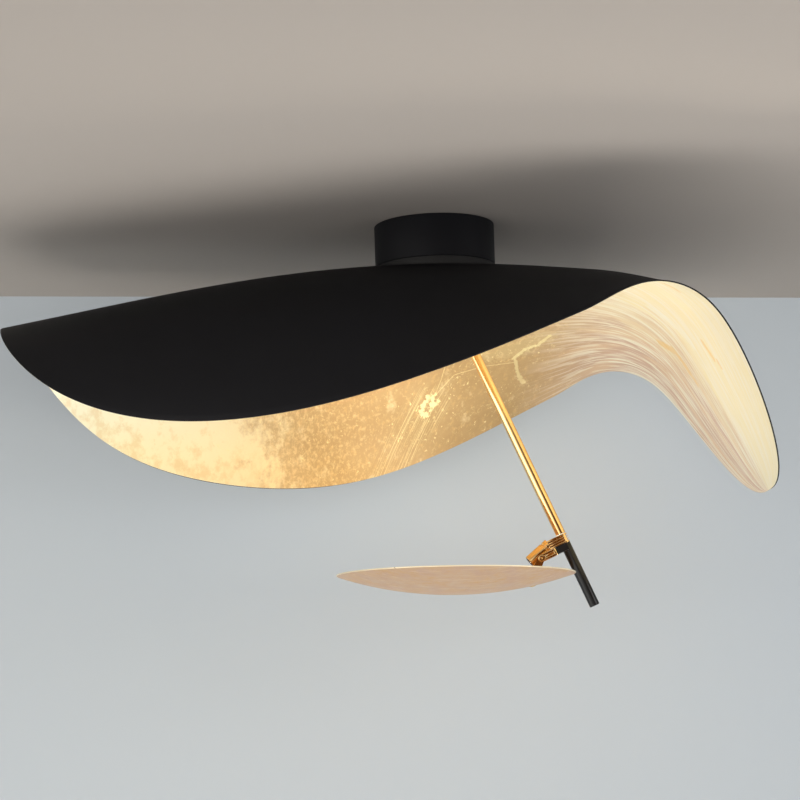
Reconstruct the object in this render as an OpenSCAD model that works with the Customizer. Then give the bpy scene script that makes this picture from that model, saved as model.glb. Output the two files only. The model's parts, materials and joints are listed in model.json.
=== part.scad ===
// Sculptural ceiling light. A round canopy carries a large sheet-metal shade,
// black above and gold leaf below. A leaning gilt rod hangs through the middle
// and ends in a lamp head on a black grip. The head shines into a shallow
// gilded dish, and the dish throws the light back up under the shade.
// Origin: middle of the canopy on the ceiling. +Z up, +X to the shade's lobe,
// -Y to the side with the lower rim.

/* [Canopy] */
// Outside diameter of the canopy
canopy_d = 130; // [110:1:160]
// Height of the canopy
canopy_h = 45.5; // [40:0.5:60]
// Wall of the spun canopy
canopy_wall = 1.5; // [1:0.1:2.5]
// Floor of the canopy
canopy_floor = 2; // [1.5:0.1:3]
// Least thickness of the pad between canopy and shade, on the middle axis
pad_t = 2.5; // [2.5:0.1:5]

/* [Ceiling bracket] */
// Distance between the two slotted holes
slot_spacing = 80; // [60:1:84]
// Width of each slot
slot_w = 5.2; // [4:0.1:6]
// End-to-end length of each slot
slot_l = 12; // [8:0.5:14]
// Diameter of the cable hole in its middle
cable_hole_d = 13; // [10:0.5:16]
// Width of the strap
strap_w = 22; // [18:0.5:28]
// Thickness of the strap
strap_t = 2; // [1.5:0.1:3]
// Free room between the strap's ears and the canopy wall
ear_room = 3.2; // [2:0.1:6]
// Height of the ears below the ceiling
ear_h = 17; // [14:0.5:22]
// Diameter of the grub screws that hold the canopy
canopy_screw_d = 4; // [3:0.5:5]
// Depth of those screws below the ceiling
canopy_screw_z = 10; // [8:0.5:12]

/* [Shade sheet] */
// Length of the flat blank
blank_l = 948; // [800:2:1100]
// Width of the flat blank
blank_w = 660; // [500:2:760]
// Middle of the blank from the canopy axis, along the sheet
blank_shift = 3; // [-30:1:30]
// Fullness of the blank along its length
full_along = 2.2; // [2:0.05:3]
// Fullness of the blank across
full_across = 2.4; // [2:0.05:3]
// Thickness of the sheet
sheet_t = 1.5; // [1:0.1:3]
// Thickness of the leaf and lacquer layer
leaf_t = 0.3; // [0.2:0.05:0.5]
// Turn of the shade about the canopy axis
shade_turn = -1.4; // [-10:0.1:10]

/* [Bend along the spine] */
// Climb of the spine at the tail, in degrees
tail_climb = 9.5; // [5:0.5:14]
// How far the climb falls off over the crown
crown_droop = 29; // [20:0.5:36]
// Where the crown's droop starts
droop_start = -380; // [-440:5:-300]
// Where the crown's droop ends
droop_end = 500; // [420:5:560]
// Extra turn down of the lobe
plunge = 46.4; // [30:0.2:60]
// Where the plunge starts
plunge_start = 150; // [120:2:200]
// Where the plunge ends
plunge_end = 324; // [290:2:360]

/* [Roll across the spine] */
// Where the roll across the spine runs out
roll_end = 293; // [250:1:350]
// How softly it runs out, so that the sheet has no crease there
roll_fade = 49; // [20:1:90]
// Turn of the near side over half the width, in degrees: first, second and third power
near_roll_1 = 86.2; // [60:0.1:110]
near_roll_2 = -38.1; // [-60:0.1:0]
near_roll_3 = 9.3; // [0:0.1:20]
// Turn of the far side over half the width, in degrees: first and second power
far_roll_1 = 68.5; // [60:0.1:110]
far_roll_2 = -1.2; // [-20:0.1:0]

/* [Hub and nipple] */
// Outside diameter of the threaded nipple
nipple_d = 10; // [9:0.5:12]
// Bore of the nipple
nipple_bore = 7.4; // [6:0.1:8]
// Thickness of the rubber ring above the hub
hub_ring_t = 1.5; // [1:0.1:3]
// Diameter of the hub's top face
hub_d = 26; // [22:0.5:36]
// Diameter of the hub's ball
hub_ball_d = 30; // [28:0.5:40]
// Wall of the hub's sleeve round the rod
hub_sleeve_wall = 3.2; // [2:0.1:5]

/* [Rod] */
// Lean of the rod from the vertical
rod_lean = 23.2; // [10:0.1:30]
// Outside diameter of the rod
rod_d = 11; // [10:0.5:14]
// Wall of the rod's tube
rod_wall = 1.5; // [1:0.1:2]
// Where the rod starts, from the sheet's crown along its axis
rod_start = 26; // [26:0.5:34]
// Where the rod ends at the swivel
rod_end = 314; // [240:1:420]
// Length of the rod inside the hub's sleeve
rod_grip_l = 26; // [18:0.5:40]
// Diameter of the two-core lead inside the rod
lead_d = 3; // [2.6:0.1:3.4]

/* [Swivel and grip] */
// Rest turn of the lamp head about the rod
head_turn = -3.1; // [-10:0.1:10]
// Length of the spigot inside the rod
spigot_l = 18; // [14:0.5:24]
// Length of the black grip below the fin block
grip_l = 73; // [50:1:100]
// Thickness of the friction washer
friction_t = 0.8; // [0.5:0.1:1.5]
// Radial clearance of a turning fit
turn_gap = 0.05; // [0.03:0.01:0.1]

/* [Lamp head] */
// Height of the finned block, along the rod
fin_block_h = 10; // [8:0.5:14]
// Reach of the finned block from the rod's axis
fin_block_reach = 18; // [14:0.5:24]
// Thickness of the finned block
fin_block_w = 12; // [12:0.5:16]
// Number of cooling grooves on each side
fin_grooves = 3; // [2:1:4]
// Diameter of the lamp barrel
barrel_d = 14; // [12:0.5:16]
// Length of the lamp barrel on its axis
barrel_l = 26; // [20:0.5:32]
// How far the barrel dips below square to the rod
barrel_dip = 17; // [8:0.5:24]
// Diameter of the lens
lens_d = 11; // [9:0.5:12]

/* [Fork] */
// Where the tilt pivot lies from the rod's axis
pivot_reach = 31.5; // [30:0.5:38]
// Height of each fork plate
fork_h = 7.6; // [7:0.2:10]
// Thickness of each fork plate
fork_t = 1.8; // [1.5:0.1:3]
// Length of the slot in the near fork plate
fork_slot_l = 11; // [6:0.5:12]
// Width of that slot
fork_slot_w = 2.6; // [1.5:0.1:3.4]
// Diameter of the pivot screws' shoulders
pivot_d = 4; // [3:0.5:5]

/* [Dish] */
// Diameter of the dish
dish_d = 250; // [180:1:320]
// Depth of the dish
dish_depth = 20.3; // [12:0.5:40]
// Thickness of the spun dish
dish_t = 1.2; // [0.8:0.1:2]
// Distance from the dish's middle to its stud
stud_offset = 88.5; // [70:0.5:100]
// Drop from the tilt pivot to the dish's rim plane
rim_drop = 16.5; // [8:0.1:24]
// Swing of the dish about its stud at rest
dish_swing = 20; // [-30:1:32]
// Tilt of the dish at rest, far end up
dish_tilt = 1; // [-5:0.05:10]
// Distance of the stud from the tilt pivot, towards the dish
stud_reach = 9.1; // [6:0.1:12]
// Diameter of the dish's stud
stud_d = 6; // [5:0.5:8]
// Thickness of the stirrup's strip
stirrup_t = 1.8; // [1.5:0.1:3]

/* [Hidden] */
$fn = 96;

black = [0.10, 0.10, 0.12];
gold = [0.85, 0.66, 0.36];
leaf = [0.93, 0.78, 0.50];
steel = [0.72, 0.73, 0.75];
rubber = [0.13, 0.13, 0.13];

fit_gap = 0.02;      // screw or thread in its own tapped hole
seat_gap = 0.1;      // pieces that seat on a curved sheet
pass_gap = 0.3;      // a hole that only lets something through
leaf_gap = 0.05;     // between the sheet and its leaf
wire_d = 2.2;        // single wires inside the canopy

canopy_r = canopy_d / 2;
canopy_in_r = canopy_r - canopy_wall;
floor_top = -canopy_h + canopy_floor;
crown_z = -canopy_h - pad_t;

// Sheet: a flat blank, bent along its spine and rolled across it
blank_a = blank_l / 2;
blank_b = blank_w / 2;
stations = 60;
ribs = 18;
tip_angle = 1.2;     // the blank's tips are trimmed square this close to their points
spine_step = 4;
least_turn = 0.02;   // a turn of nought would divide by nought below
spine_steps = ceil((blank_a + abs(blank_shift)) / spine_step) + 2;

function ease(x) = let (c = max(0, min(1, x))) c * c * (3 - 2 * c);
function climb(s) = tail_climb
    - crown_droop * ease((s - droop_start) / (droop_end - droop_start))
    - plunge * ease((s - plunge_start) / (plunge_end - plunge_start));
function walk(dir) = [for (i = 0, p = [0, 0]; i <= spine_steps;
    p = p + dir * spine_step * [cos(climb(dir * (i + 0.5) * spine_step)),
                                sin(climb(dir * (i + 0.5) * spine_step))],
    i = i + 1) [dir * i * spine_step, p[0], p[1]]];
walk_out = walk(1);
walk_back = walk(-1);
spine = [for (i = [spine_steps : -1 : 1]) walk_back[i], for (q = walk_out) q];
spine_x = [for (q = spine) [q[0], q[1]]];
spine_z = [for (q = spine) [q[0], q[2]]];

// Share of the roll that is left: it falls evenly, and eases out round roll_end
function roll_left(s) = let (to_go = roll_end - s)
    (to_go + norm([to_go, roll_fade])) / 2 / roll_end;
// Curvature across the spine, per millimetre
function roll(s, v) = let (x = roll_left(s))
    max(least_turn, v < 0 ? x * (near_roll_1 + x * (near_roll_2 + x * near_roll_3))
                          : x * (far_roll_1 + x * far_roll_2)) * PI / 180 / blank_b;
function half_width(s) = let (e = min(1, abs(s - blank_shift) / blank_a))
    blank_b * pow(1 - pow(e, full_along), 1 / full_across);
// Point of the sheet at s along the spine and v across it, some depth below its top
function sheet_point(s, v, depth = 0) = let (
    k = roll(s, v),
    a = climb(s),
    bend = k * v * 180 / PI,
    y = sin(bend) / k - depth * sin(bend),
    n = -(1 - cos(bend)) / k - depth * cos(bend),
    x = lookup(s, spine_x) - n * sin(a))
    [x * cos(shade_turn) - y * sin(shade_turn),
     x * sin(shade_turn) + y * cos(shade_turn),
     crown_z + lookup(s, spine_z) + n * cos(a)];
function station(i) = blank_shift
    - blank_a * cos(tip_angle + (180 - 2 * tip_angle) * i / stations);
// Lowest place of the sheet's underside within a radius of the crown, panels included
panel = blank_w / ribs;
panel_sag = max(roll(0, 1), roll(0, -1)) * panel * panel / 8;
function under_low(r) = min([for (t = [0 : 15 : 345])
    sheet_point(r * cos(t), r * sin(t), sheet_t + leaf_t + 2 * leaf_gap)[2]]) - panel_sag;

module sheet_layer(top, bottom) {
    row = ribs + 1;
    last = stations * row;
    layer = (stations + 1) * row;
    points = [for (d = [top, bottom]) for (i = [0 : stations]) for (j = [0 : ribs])
        let (s = station(i)) sheet_point(s, half_width(s) * (2 * j / ribs - 1), d)];
    skin = [for (i = [0 : stations - 1]) for (j = [0 : ribs - 1]) let (p = i * row + j)
        each [[p, p + 1, p + row + 1], [p, p + row + 1, p + row]]];
    lower = [for (f = skin) [f[0] + layer, f[2] + layer, f[1] + layer]];
    near_edge = [for (i = [0 : stations - 1]) let (p = i * row)
        each [[p, p + row, p + row + layer], [p, p + row + layer, p + layer]]];
    far_edge = [for (i = [0 : stations - 1]) let (p = i * row + ribs)
        each [[p, p + layer, p + row + layer], [p, p + row + layer, p + row]]];
    tail_edge = [for (j = [0 : ribs - 1])
        each [[j, j + layer, j + 1 + layer], [j, j + 1 + layer, j + 1]]];
    lobe_edge = [for (j = [0 : ribs - 1]) let (p = last + j)
        each [[p, p + 1, p + 1 + layer], [p, p + 1 + layer, p + layer]]];
    difference() {
        polyhedron(points, concat(skin, lower, near_edge, far_edge, tail_edge, lobe_edge), 4);
        translate([0, 0, crown_z - 10]) cylinder(r = nipple_d / 2 + pass_gap, h = 20);
    }
}

// Ceiling bracket
ear_x = canopy_in_r - ear_room - strap_t / 2;
strap_l = 2 * ear_x + strap_t;

// Hub, under the crown
hub_ring_top = under_low(hub_d / 2) - seat_gap;
hub_top = hub_ring_top - hub_ring_t;
hub_ball_drop = 12;      // from the hub's top to the middle of its ball
hub_screw_in = 18;       // from the rod's start to the screw that holds it
lead_bend_in = 14;       // from the rod's start to where the lead runs along it
nipple_r = nipple_d / 2;
nipple_hold = 8;
nipple_low = hub_top - nipple_hold;
nipple_foot = [0, 0, nipple_low];
washer_d = 34;
washer_t = 2;
nut_t = 4;
nipple_high = floor_top + washer_t + nut_t + 2;

// Rod frame: z runs down the rod, x points from the rod to the dish
root_z = crown_z - 2;
rod_r = rod_d / 2;
rod_in_r = rod_r - rod_wall;
sleeve_r = rod_r + hub_sleeve_wall;
sleeve_start = rod_start - 12;
sleeve_end = rod_start + rod_grip_l;
module rod_frame() translate([0, 0, root_z]) rotate([0, 180 - rod_lean, 0]) children();
module head_frame() rod_frame() rotate([0, 0, head_turn]) children();
function from_rod(u, t) = [t * sin(rod_lean) - u * cos(rod_lean), 0,
    root_z - t * cos(rod_lean) - u * sin(rod_lean)];

// Lamp head, in the rod frame
block_top = rod_end + friction_t + 0.2;
block_low = block_top + fin_block_h;
block_r = rod_r + 0.3;
spigot_r = rod_in_r - turn_gap;
spigot_bore_r = lead_d / 2 + 0.6;
lead_turn_t = block_top + fin_block_h / 2;   // where the lead turns into the lamp barrel
lead_cut_t = lead_turn_t - 3;                // the lead twists in the swivel, so it is cut here
groove_r = spigot_r - 0.85;
swivel_t = rod_end - spigot_l / 2 - 1;
swivel_screw_r = 1.5;
groove_h = 2 * swivel_screw_r + 0.6;
grip_end = block_low + grip_l;
barrel_r = barrel_d / 2;
plate_in = barrel_r + 1;
plate_out = plate_in + fork_t;
lug_reach = 12;
lug_h = fork_h;
strip_bend_r = 3;
pivot_t = block_low + 0.4 + fork_h / 2;
pivot = from_rod(pivot_reach, pivot_t);

// Stirrup and dish, level at rest but for the dish's tilt, turned with the head
module turned_with_head() translate([0, 0, root_z])
    rotate(a = head_turn, v = [sin(rod_lean), 0, -cos(rod_lean)])
    translate([0, 0, -root_z]) children();
module level_frame() turned_with_head() translate(pivot) rotate([0, dish_tilt, 0]) children();
pivot_r = pivot_d / 2;
leg_in = plate_out + 0.3;
leg_out = leg_in + stirrup_t;
dish_r = dish_d / 2;
dish_ball_r = (dish_r * dish_r + dish_depth * dish_depth) / (2 * dish_depth);
ball_z = -rim_drop + dish_ball_r - dish_depth;    // middle of the dish's ball
dish_x = -stud_reach - stud_offset * cos(dish_swing);
dish_y = -stud_offset * sin(dish_swing);
seat_z = ball_z - sqrt(dish_ball_r * dish_ball_r - stud_offset * stud_offset);
boss_r = 8;
boss_h = 5;
boss_top = seat_z + boss_h;
plate_low = boss_top + 0.3;
plate_high = plate_low + stirrup_t;
wave_t = 0.8;
stud_nut_t = 3.5;
stud_top = plate_high + 0.1 + wave_t + 0.1 + stud_nut_t + 0.6;
stud_tilt = asin(stud_offset / dish_ball_r);

module tube(ro, ri, h) difference() {
    cylinder(r = ro, h = h);
    translate([0, 0, -1]) cylinder(r = ri, h = h + 2);
}
module hex_nut(across, bore_r, h) difference() {
    cylinder(r = across / 2 / cos(30), h = h, $fn = 6);
    translate([0, 0, -1]) cylinder(r = bore_r, h = h + 2);
}
module slot_hole(l, w, h) {
    for (x = [-1, 1] * (l - w) / 2) translate([x, 0, 0]) cylinder(d = w, h = h);
    translate([-(l - w) / 2, -w / 2, 0]) cube([l - w, w, h]);
}

module ceiling_bracket() color(steel) difference() {
    union() {
        translate([-strap_l / 2, -strap_w / 2, -strap_t]) cube([strap_l, strap_w, strap_t]);
        for (side = [-1, 1]) translate([side * ear_x - strap_t / 2, -strap_w / 2, -ear_h])
            cube([strap_t, strap_w, ear_h]);
    }
    for (x = [-1, 1] * slot_spacing / 2) translate([x, 0, -strap_t - 1])
        slot_hole(slot_l, slot_w, strap_t + 2);
    translate([0, 0, -strap_t - 1]) cylinder(d = cable_hole_d, h = strap_t + 2);
    translate([earth_x, 0, -strap_t - 1]) cylinder(r = earth_r + fit_gap, h = strap_t + 2);
    for (side = [-1, 1]) translate([side * ear_x, 0, -canopy_screw_z]) rotate([0, 90, 0])
        cylinder(r = canopy_screw_d / 2 + fit_gap, h = strap_t + 2, center = true);
}
earth_x = 20;
earth_r = 2;
earth_head_r = 3.8;

module earth_screw() color("goldenrod") translate([earth_x, 0, 0]) {
    translate([0, 0, -strap_t - 6]) cylinder(r = earth_r, h = strap_t + 5);
    difference() {
        translate([0, 0, -strap_t - 2.6]) cylinder(r = earth_head_r, h = 2.5);
        translate([-5, -0.5, -strap_t - 3]) cube([10, 1, 1.4]);
    }
}

module canopy() color(black) difference() {
    translate([0, 0, -canopy_h]) rotate_extrude() polygon([
        [nipple_r + pass_gap, 0], [canopy_r - 1, 0], [canopy_r, 1], [canopy_r, canopy_h],
        [canopy_in_r, canopy_h], [canopy_in_r, canopy_floor],
        [nipple_r + pass_gap, canopy_floor]]);
    for (side = [-1, 1]) translate([side * canopy_in_r, 0, -canopy_screw_z]) rotate([0, 90, 0])
        cylinder(r = canopy_screw_d / 2 + 0.1, h = 6, center = true);
}

module canopy_screws() color(steel) for (side = [0, 180]) rotate([0, 0, side])
    translate([ear_x - strap_t / 2 - 1, 0, -canopy_screw_z]) rotate([0, 90, 0]) difference() {
        cylinder(d = canopy_screw_d, h = canopy_r - 0.4 - ear_x + strap_t / 2 + 1);
        translate([0, 0, canopy_r - 2.4 - ear_x + strap_t / 2 + 1])
            cylinder(r = canopy_screw_d / 4, h = 3, $fn = 6);
    }

driver_l = 72;
driver_w = 28;
driver_h = 20;
driver_face = washer_d / 2 + 1.5;
driver_y = driver_face + driver_w / 2;
exit_z = 14;
module led_driver() color("white") translate([0, driver_y, floor_top]) difference() {
    union() {
        translate([-driver_l / 2, -driver_w / 2, 0]) cube([driver_l, driver_w, driver_h]);
        for (side = [-1, 1]) translate([side * (driver_l / 2 - 6), 0, driver_h])
            cylinder(r = 2.5, h = 1);
    }
    translate([0, -driver_w / 2 - 1, exit_z]) rotate([-90, 0, 0])
        cylinder(r = lead_d / 2 + 0.1, h = 5);
}

poles = 3;
pole_pitch = 10;
terminal_w = 16;
terminal_base_h = 7;
terminal_cap = [8, 12, 7];
clamp_z = 6;
terminal_y = -washer_d / 2 - 12;
module terminal_block() color("ivory") translate([0, terminal_y, floor_top]) difference() {
    union() {
        translate([-poles * pole_pitch / 2, -terminal_w / 2, 0])
            cube([poles * pole_pitch, terminal_w, terminal_base_h]);
        at_poles() translate([-terminal_cap[0] / 2, -terminal_cap[1] / 2, terminal_base_h])
            cube(terminal_cap);
    }
    at_poles() {
        translate([0, -terminal_w / 2 - 1, clamp_z]) rotate([-90, 0, 0])
            cylinder(r = 1.8, h = terminal_w + 2);
        for (y = [-3.2, 3.2]) translate([0, y, terminal_base_h + 1])
            cylinder(r = 1.6, h = terminal_cap[2] + 1);
    }
}
module at_poles() for (i = [0 : poles - 1])
    translate([(i - (poles - 1) / 2) * pole_pitch, 0, 0]) children();

module load_washer() color(steel) translate([0, 0, floor_top])
    tube(washer_d / 2, nipple_r + pass_gap, washer_t);
module nipple_nut() color(steel) translate([0, 0, floor_top + washer_t])
    hex_nut(nipple_d + 5, nipple_r + fit_gap, nut_t);
module nipple() color("goldenrod") translate([0, 0, nipple_low])
    tube(nipple_r, nipple_bore / 2, nipple_high - nipple_low);

// Moulded pad: flat above, and its lower face follows the sheet's top
module saddle_pad() color(rubber) {
    around = 48;
    radii = [for (i = [0 : 4]) nipple_r + pass_gap + i * (canopy_r - 0.6 - nipple_r - pass_gap) / 4];
    n = len(radii) * around;
    face = [for (r = radii) for (a = [0 : around - 1])
        sheet_point(r * cos(a * 360 / around), r * sin(a * 360 / around), -seat_gap)];
    points = concat(face, [for (p = face) [p[0], p[1], -canopy_h]]);
    cells = [for (i = [0 : len(radii) - 2]) for (a = [0 : around - 1])
        let (b = (a + 1) % around) [i * around + a, i * around + b, (i + 1) * around + b,
            (i + 1) * around + a]];
    under = [for (c = cells) each [[c[0], c[2], c[1]], [c[0], c[3], c[2]]]];
    above = [for (f = under) [f[0] + n, f[2] + n, f[1] + n]];
    outer0 = n - around;
    walls = [for (a = [0 : around - 1]) let (b = (a + 1) % around)
        each [[a, b, b + n], [a, b + n, a + n],
            [outer0 + b, outer0 + a, outer0 + a + n], [outer0 + b, outer0 + a + n, outer0 + b + n]]];
    polyhedron(points, concat(under, above, walls), 4);
}

module shade() color(black) sheet_layer(0, sheet_t);
module shade_gilding() color(leaf) sheet_layer(sheet_t + leaf_gap, sheet_t + leaf_gap + leaf_t);

module hub_ring() color(rubber) translate([0, 0, hub_top])
    tube(hub_d / 2, nipple_r + pass_gap, hub_ring_t);

// Ball hub: a flat top against the sheet and a sleeve that holds the leaning rod
hub_ball_z = hub_top - hub_ball_drop;
lead_bend = from_rod(0, rod_start + lead_bend_in);
module lead_channel(r) {
    run = lead_bend - nipple_foot;
    translate(nipple_foot) rotate([0, atan2(run[0], run[2]), 0]) translate([0, 0, -0.5])
        cylinder(r = r, h = norm(run) + 0.5);
}
module hub() color(gold) difference() {
    union() {
        translate([0, 0, hub_ball_z]) intersection() {
            sphere(d = hub_ball_d);
            translate([0, 0, -hub_ball_d])
                cylinder(d = hub_ball_d, h = hub_ball_d + hub_ball_drop - 2);
        }
        translate([0, 0, hub_top - 4]) cylinder(d = hub_d, h = 4);
        rod_frame() translate([0, 0, sleeve_start])
            cylinder(r = sleeve_r, h = sleeve_end - sleeve_start);
    }
    translate([0, 0, hub_top - nipple_hold]) cylinder(r = nipple_r + fit_gap, h = nipple_hold + 1);
    translate([0, 0, hub_top]) cylinder(d = hub_ball_d * 2, h = hub_ball_d);
    rod_frame() translate([0, 0, rod_start - 0.1])
        cylinder(r = rod_r + fit_gap, h = rod_grip_l + 1);
    lead_channel(lead_d / 2 + 1);
    rod_frame() translate([0, 0, rod_start + hub_screw_in]) rotate([-90, 0, 0])
        cylinder(r = 2 + fit_gap, h = 20);
}
module hub_screw() color(steel) rod_frame()
    translate([0, rod_r + 0.05, rod_start + hub_screw_in]) rotate([-90, 0, 0]) difference() {
        cylinder(r = 2, h = hub_sleeve_wall - 0.3);
        translate([0, 0, hub_sleeve_wall - 1.8]) cylinder(r = 1, h = 3, $fn = 6);
    }

module rod() color(gold) rod_frame() difference() {
    translate([0, 0, rod_start]) tube(rod_r, rod_in_r, rod_end - rod_start);
    translate([0, 0, swivel_t]) rotate([-90, 0, 0])
        cylinder(r = swivel_screw_r + fit_gap, h = rod_r + 1);
}
module swivel_screw() color(steel) rod_frame() translate([0, groove_r + 0.25, swivel_t])
    rotate([-90, 0, 0]) difference() {
        cylinder(r = swivel_screw_r, h = rod_r - groove_r - 0.3);
        translate([0, 0, rod_r - groove_r - 1.2]) cylinder(r = 0.75, h = 2, $fn = 6);
    }

// A wire of 8 sides, swept along a list of points that never run along `side`
module wire(route, d, side) {
    sides = 8;
    last = len(route) - 1;
    function heading(i) = let (v = route[min(last, i + 1)] - route[max(0, i - 1)]) v / norm(v);
    function ring(i) = let (h = heading(i), u = side - h * (h * side), ux = u / norm(u),
        uy = cross(h, ux)) [for (a = [0 : sides - 1])
            route[i] + d / 2 * (cos(a * 360 / sides) * ux + sin(a * 360 / sides) * uy)];
    wall = [for (i = [0 : last - 1]) for (a = [0 : sides - 1])
        let (b = (a + 1) % sides, p = i * sides)
        each [[p + a, p + sides + b, p + b], [p + a, p + sides + a, p + sides + b]]];
    first_cap = [for (a = [0 : sides - 1]) a];
    last_cap = [for (a = [sides - 1 : -1 : 0]) last * sides + a];
    polyhedron([for (i = [0 : last]) each ring(i)], concat(wall, [first_cap, last_cap]), 4);
}

// The lead runs from the driver over the nipple and down inside the rod to the swivel
lead_over = 10;
lead_top = floor_top + exit_z;
into_rod = (lead_bend - nipple_foot) / norm(lead_bend - nipple_foot);
lead_route = concat(
    [[0, driver_face + 3, lead_top], [0, driver_face - 1, lead_top]],
    [for (a = [0 : 22.5 : 90]) [0, lead_over * (1 - sin(a)), lead_top - lead_over * (1 - cos(a))]],
    [[0, 0, (lead_top - lead_over + nipple_low) / 2], nipple_foot + [0, 0, 1.5],
        nipple_foot + 1.5 * into_rod, lead_bend - 1.5 * into_rod],
    [for (t = [rod_start + lead_bend_in + 2 : 4 * lead_d : rod_end]) from_rod(0, t)],
    [from_rod(0, lead_cut_t)]);
module supply_lead() color(rubber) wire(lead_route, lead_d, [1, 0, 0]);

// Two wires from the terminals to the driver, round the nut, and the earth wire
wire_z = floor_top + clamp_z;
module driver_leads() color("sienna") for (side = [-1, 1]) wire([
    [side * 10, terminal_y + 8, wire_z], [side * 10, terminal_y + 10, wire_z],
    [side * 12, terminal_y + 15, wire_z], [side * 18, terminal_y + 20, wire_z],
    [side * 21, terminal_y + 26, wire_z], [side * 22, driver_face - 8, wire_z],
    [side * 22, driver_face, wire_z]], wire_d, [0, 0, 1]);
module earth_lead() color("yellowgreen") wire([
    [0, terminal_y + 8, wire_z], [0, terminal_y + 10, wire_z],
    [4, terminal_y + 11, wire_z + 5], [12, terminal_y + 14, -22],
    [earth_x - 1, -13, -8], [earth_x, -8, -strap_t - 1.6],
    [earth_x, -earth_head_r - 0.2, -strap_t - 1.4]], wire_d, [1, 0, 0]);

// Lamp head
module friction_washer() color(rubber) head_frame() translate([0, 0, rod_end + 0.1])
    tube(rod_r, spigot_r + 0.1, friction_t);

module grip() color(black) head_frame() difference() {
    union() {
        translate([0, 0, rod_end - spigot_l])
            cylinder(r = spigot_r, h = block_low - rod_end + spigot_l + 1);
        translate([0, 0, block_low + 0.05]) rotate_extrude() polygon([[0, 0], [rod_r, 0],
            [rod_r, grip_l - 0.6], [rod_r - 0.6, grip_l], [0, grip_l]]);
        translate([0, -plate_out, block_low + 0.05]) cube([lug_reach, 2 * plate_out, lug_h]);
    }
    translate([0, 0, rod_end - spigot_l - 1])
        cylinder(r = spigot_bore_r, h = lead_turn_t - rod_end + spigot_l + 1 + spigot_bore_r);
    translate([0, 0, lead_turn_t]) rotate([0, 90, 0]) cylinder(r = spigot_bore_r, h = rod_r);
    translate([0, 0, swivel_t - groove_h / 2]) tube(spigot_r + 1, groove_r, groove_h);
    translate([lug_reach - 7, 0, pivot_t]) rotate([0, 90, 0]) cylinder(r = 1.5 + fit_gap, h = 10);
}

// Finned block: round about the rod, with cooling grooves along its sides
fin_groove_w = 1.4;
fin_groove_deep = 1.5;
module block_outline(inset) {
    circle(r = block_r - inset);
    translate([0, inset - fin_block_w / 2])
        square([fin_block_reach + inset, fin_block_w - 2 * inset]);
}
module fin_block() color(gold) head_frame() difference() {
    translate([0, 0, block_top]) linear_extrude(fin_block_h) block_outline(0);
    for (i = [1 : fin_grooves])
        translate([0, 0, block_top + i * fin_block_h / (fin_grooves + 1) - fin_groove_w / 2])
            linear_extrude(fin_groove_w) difference() {
                square(4 * fin_block_reach, center = true);
                block_outline(fin_groove_deep);
            }
    translate([0, 0, block_top - 1]) cylinder(r = spigot_r + fit_gap, h = fin_block_h + 2);
    translate([0, 0, lead_turn_t]) rotate([0, 90, 0])
        cylinder(r = spigot_bore_r, h = fin_block_reach + 1);
}

// Barrel frame: z runs along the barrel, away from the rod
module barrel_frame() head_frame() translate([fin_block_reach, 0, block_top + fin_block_h / 2])
    rotate([0, 90 - barrel_dip, 0]) children();
lens_t = 3;
board_t = 1.6;
ring_t = 1;
board_z = barrel_l - ring_t - lens_t - board_t - 0.1;
barrel_tail = 6;     // runs back past the fin block's face, where it is trimmed to it
module lamp_barrel() color(gold) difference() {
    barrel_frame() difference() {
        rotate_extrude() polygon([[0, -barrel_tail], [barrel_r, -barrel_tail],
            [barrel_r, 3], [barrel_r - 0.8, 3.6], [barrel_r - 0.8, 4.8], [barrel_r, 5.4],
            [barrel_r, barrel_l - 0.5], [barrel_r - 0.5, barrel_l], [0, barrel_l]]);
        translate([0, 0, board_z - 0.1]) cylinder(r = lens_d / 2 + 0.05, h = 20);
        translate([0, 0, barrel_l - ring_t]) cylinder(r = lens_d / 2 + 0.55, h = 20);
        translate([0, 0, -10]) cylinder(r = spigot_bore_r, h = board_z + 10);
    }
    head_frame() translate([0, -barrel_d, block_top - barrel_l])
        cube([fin_block_reach, 2 * barrel_d, 3 * barrel_l]);
}
lead_route_in_head = concat(
    [[0, 0, lead_cut_t], [0, 0, lead_turn_t - 1.8], [0.5, 0, lead_turn_t - 0.5],
        [1.8, 0, lead_turn_t], [fin_block_reach - 1.5, 0, lead_turn_t]],
    [for (z = [1.5, board_z - 0.05]) [fin_block_reach + z * cos(barrel_dip), 0,
        lead_turn_t + z * sin(barrel_dip)]]);
module lamp_lead() color(rubber) head_frame() wire(lead_route_in_head, lead_d, [0, 1, 0]);
lens_pocket_r = 3.4;
chip_w = 1.7;        // four light chips, inside the lens's pocket
chip_apart = 1;
module led_board() color("white") barrel_frame()
    translate([0, 0, board_z]) {
        cylinder(d = lens_d, h = board_t);
        for (a = [0 : 90 : 270]) rotate([0, 0, a])
            translate([chip_apart / 2, chip_apart / 2, board_t - 0.1]) cube([chip_w, chip_w, 0.5]);
    }
module lens() color("lightyellow") barrel_frame()
    translate([0, 0, barrel_l - ring_t - lens_t]) difference() {
        cylinder(d = lens_d, h = lens_t - 0.05);
        translate([0, 0, -1]) cylinder(r = lens_pocket_r, h = 2);
    }
module lens_ring() color(black) barrel_frame() translate([0, 0, barrel_l - ring_t])
    tube(lens_d / 2 + 0.5, lens_d / 2 - 0.8, ring_t);

// Section of a strip bent into a U: web at x = 0, legs along +x
module round_end(half, reach, r) {
    translate([r, -half]) square([reach - r, 2 * half]);
    translate([0, -half + r]) square([r + 1, 2 * (half - r)]);
    for (side = [-1, 1]) translate([r, side * (half - r)]) circle(r = r);
}
module u_section(half, reach, t, bend_r) difference() {
    round_end(half, reach, bend_r);
    translate([t, 0]) round_end(half - t, reach, bend_r - t);
}

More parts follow.
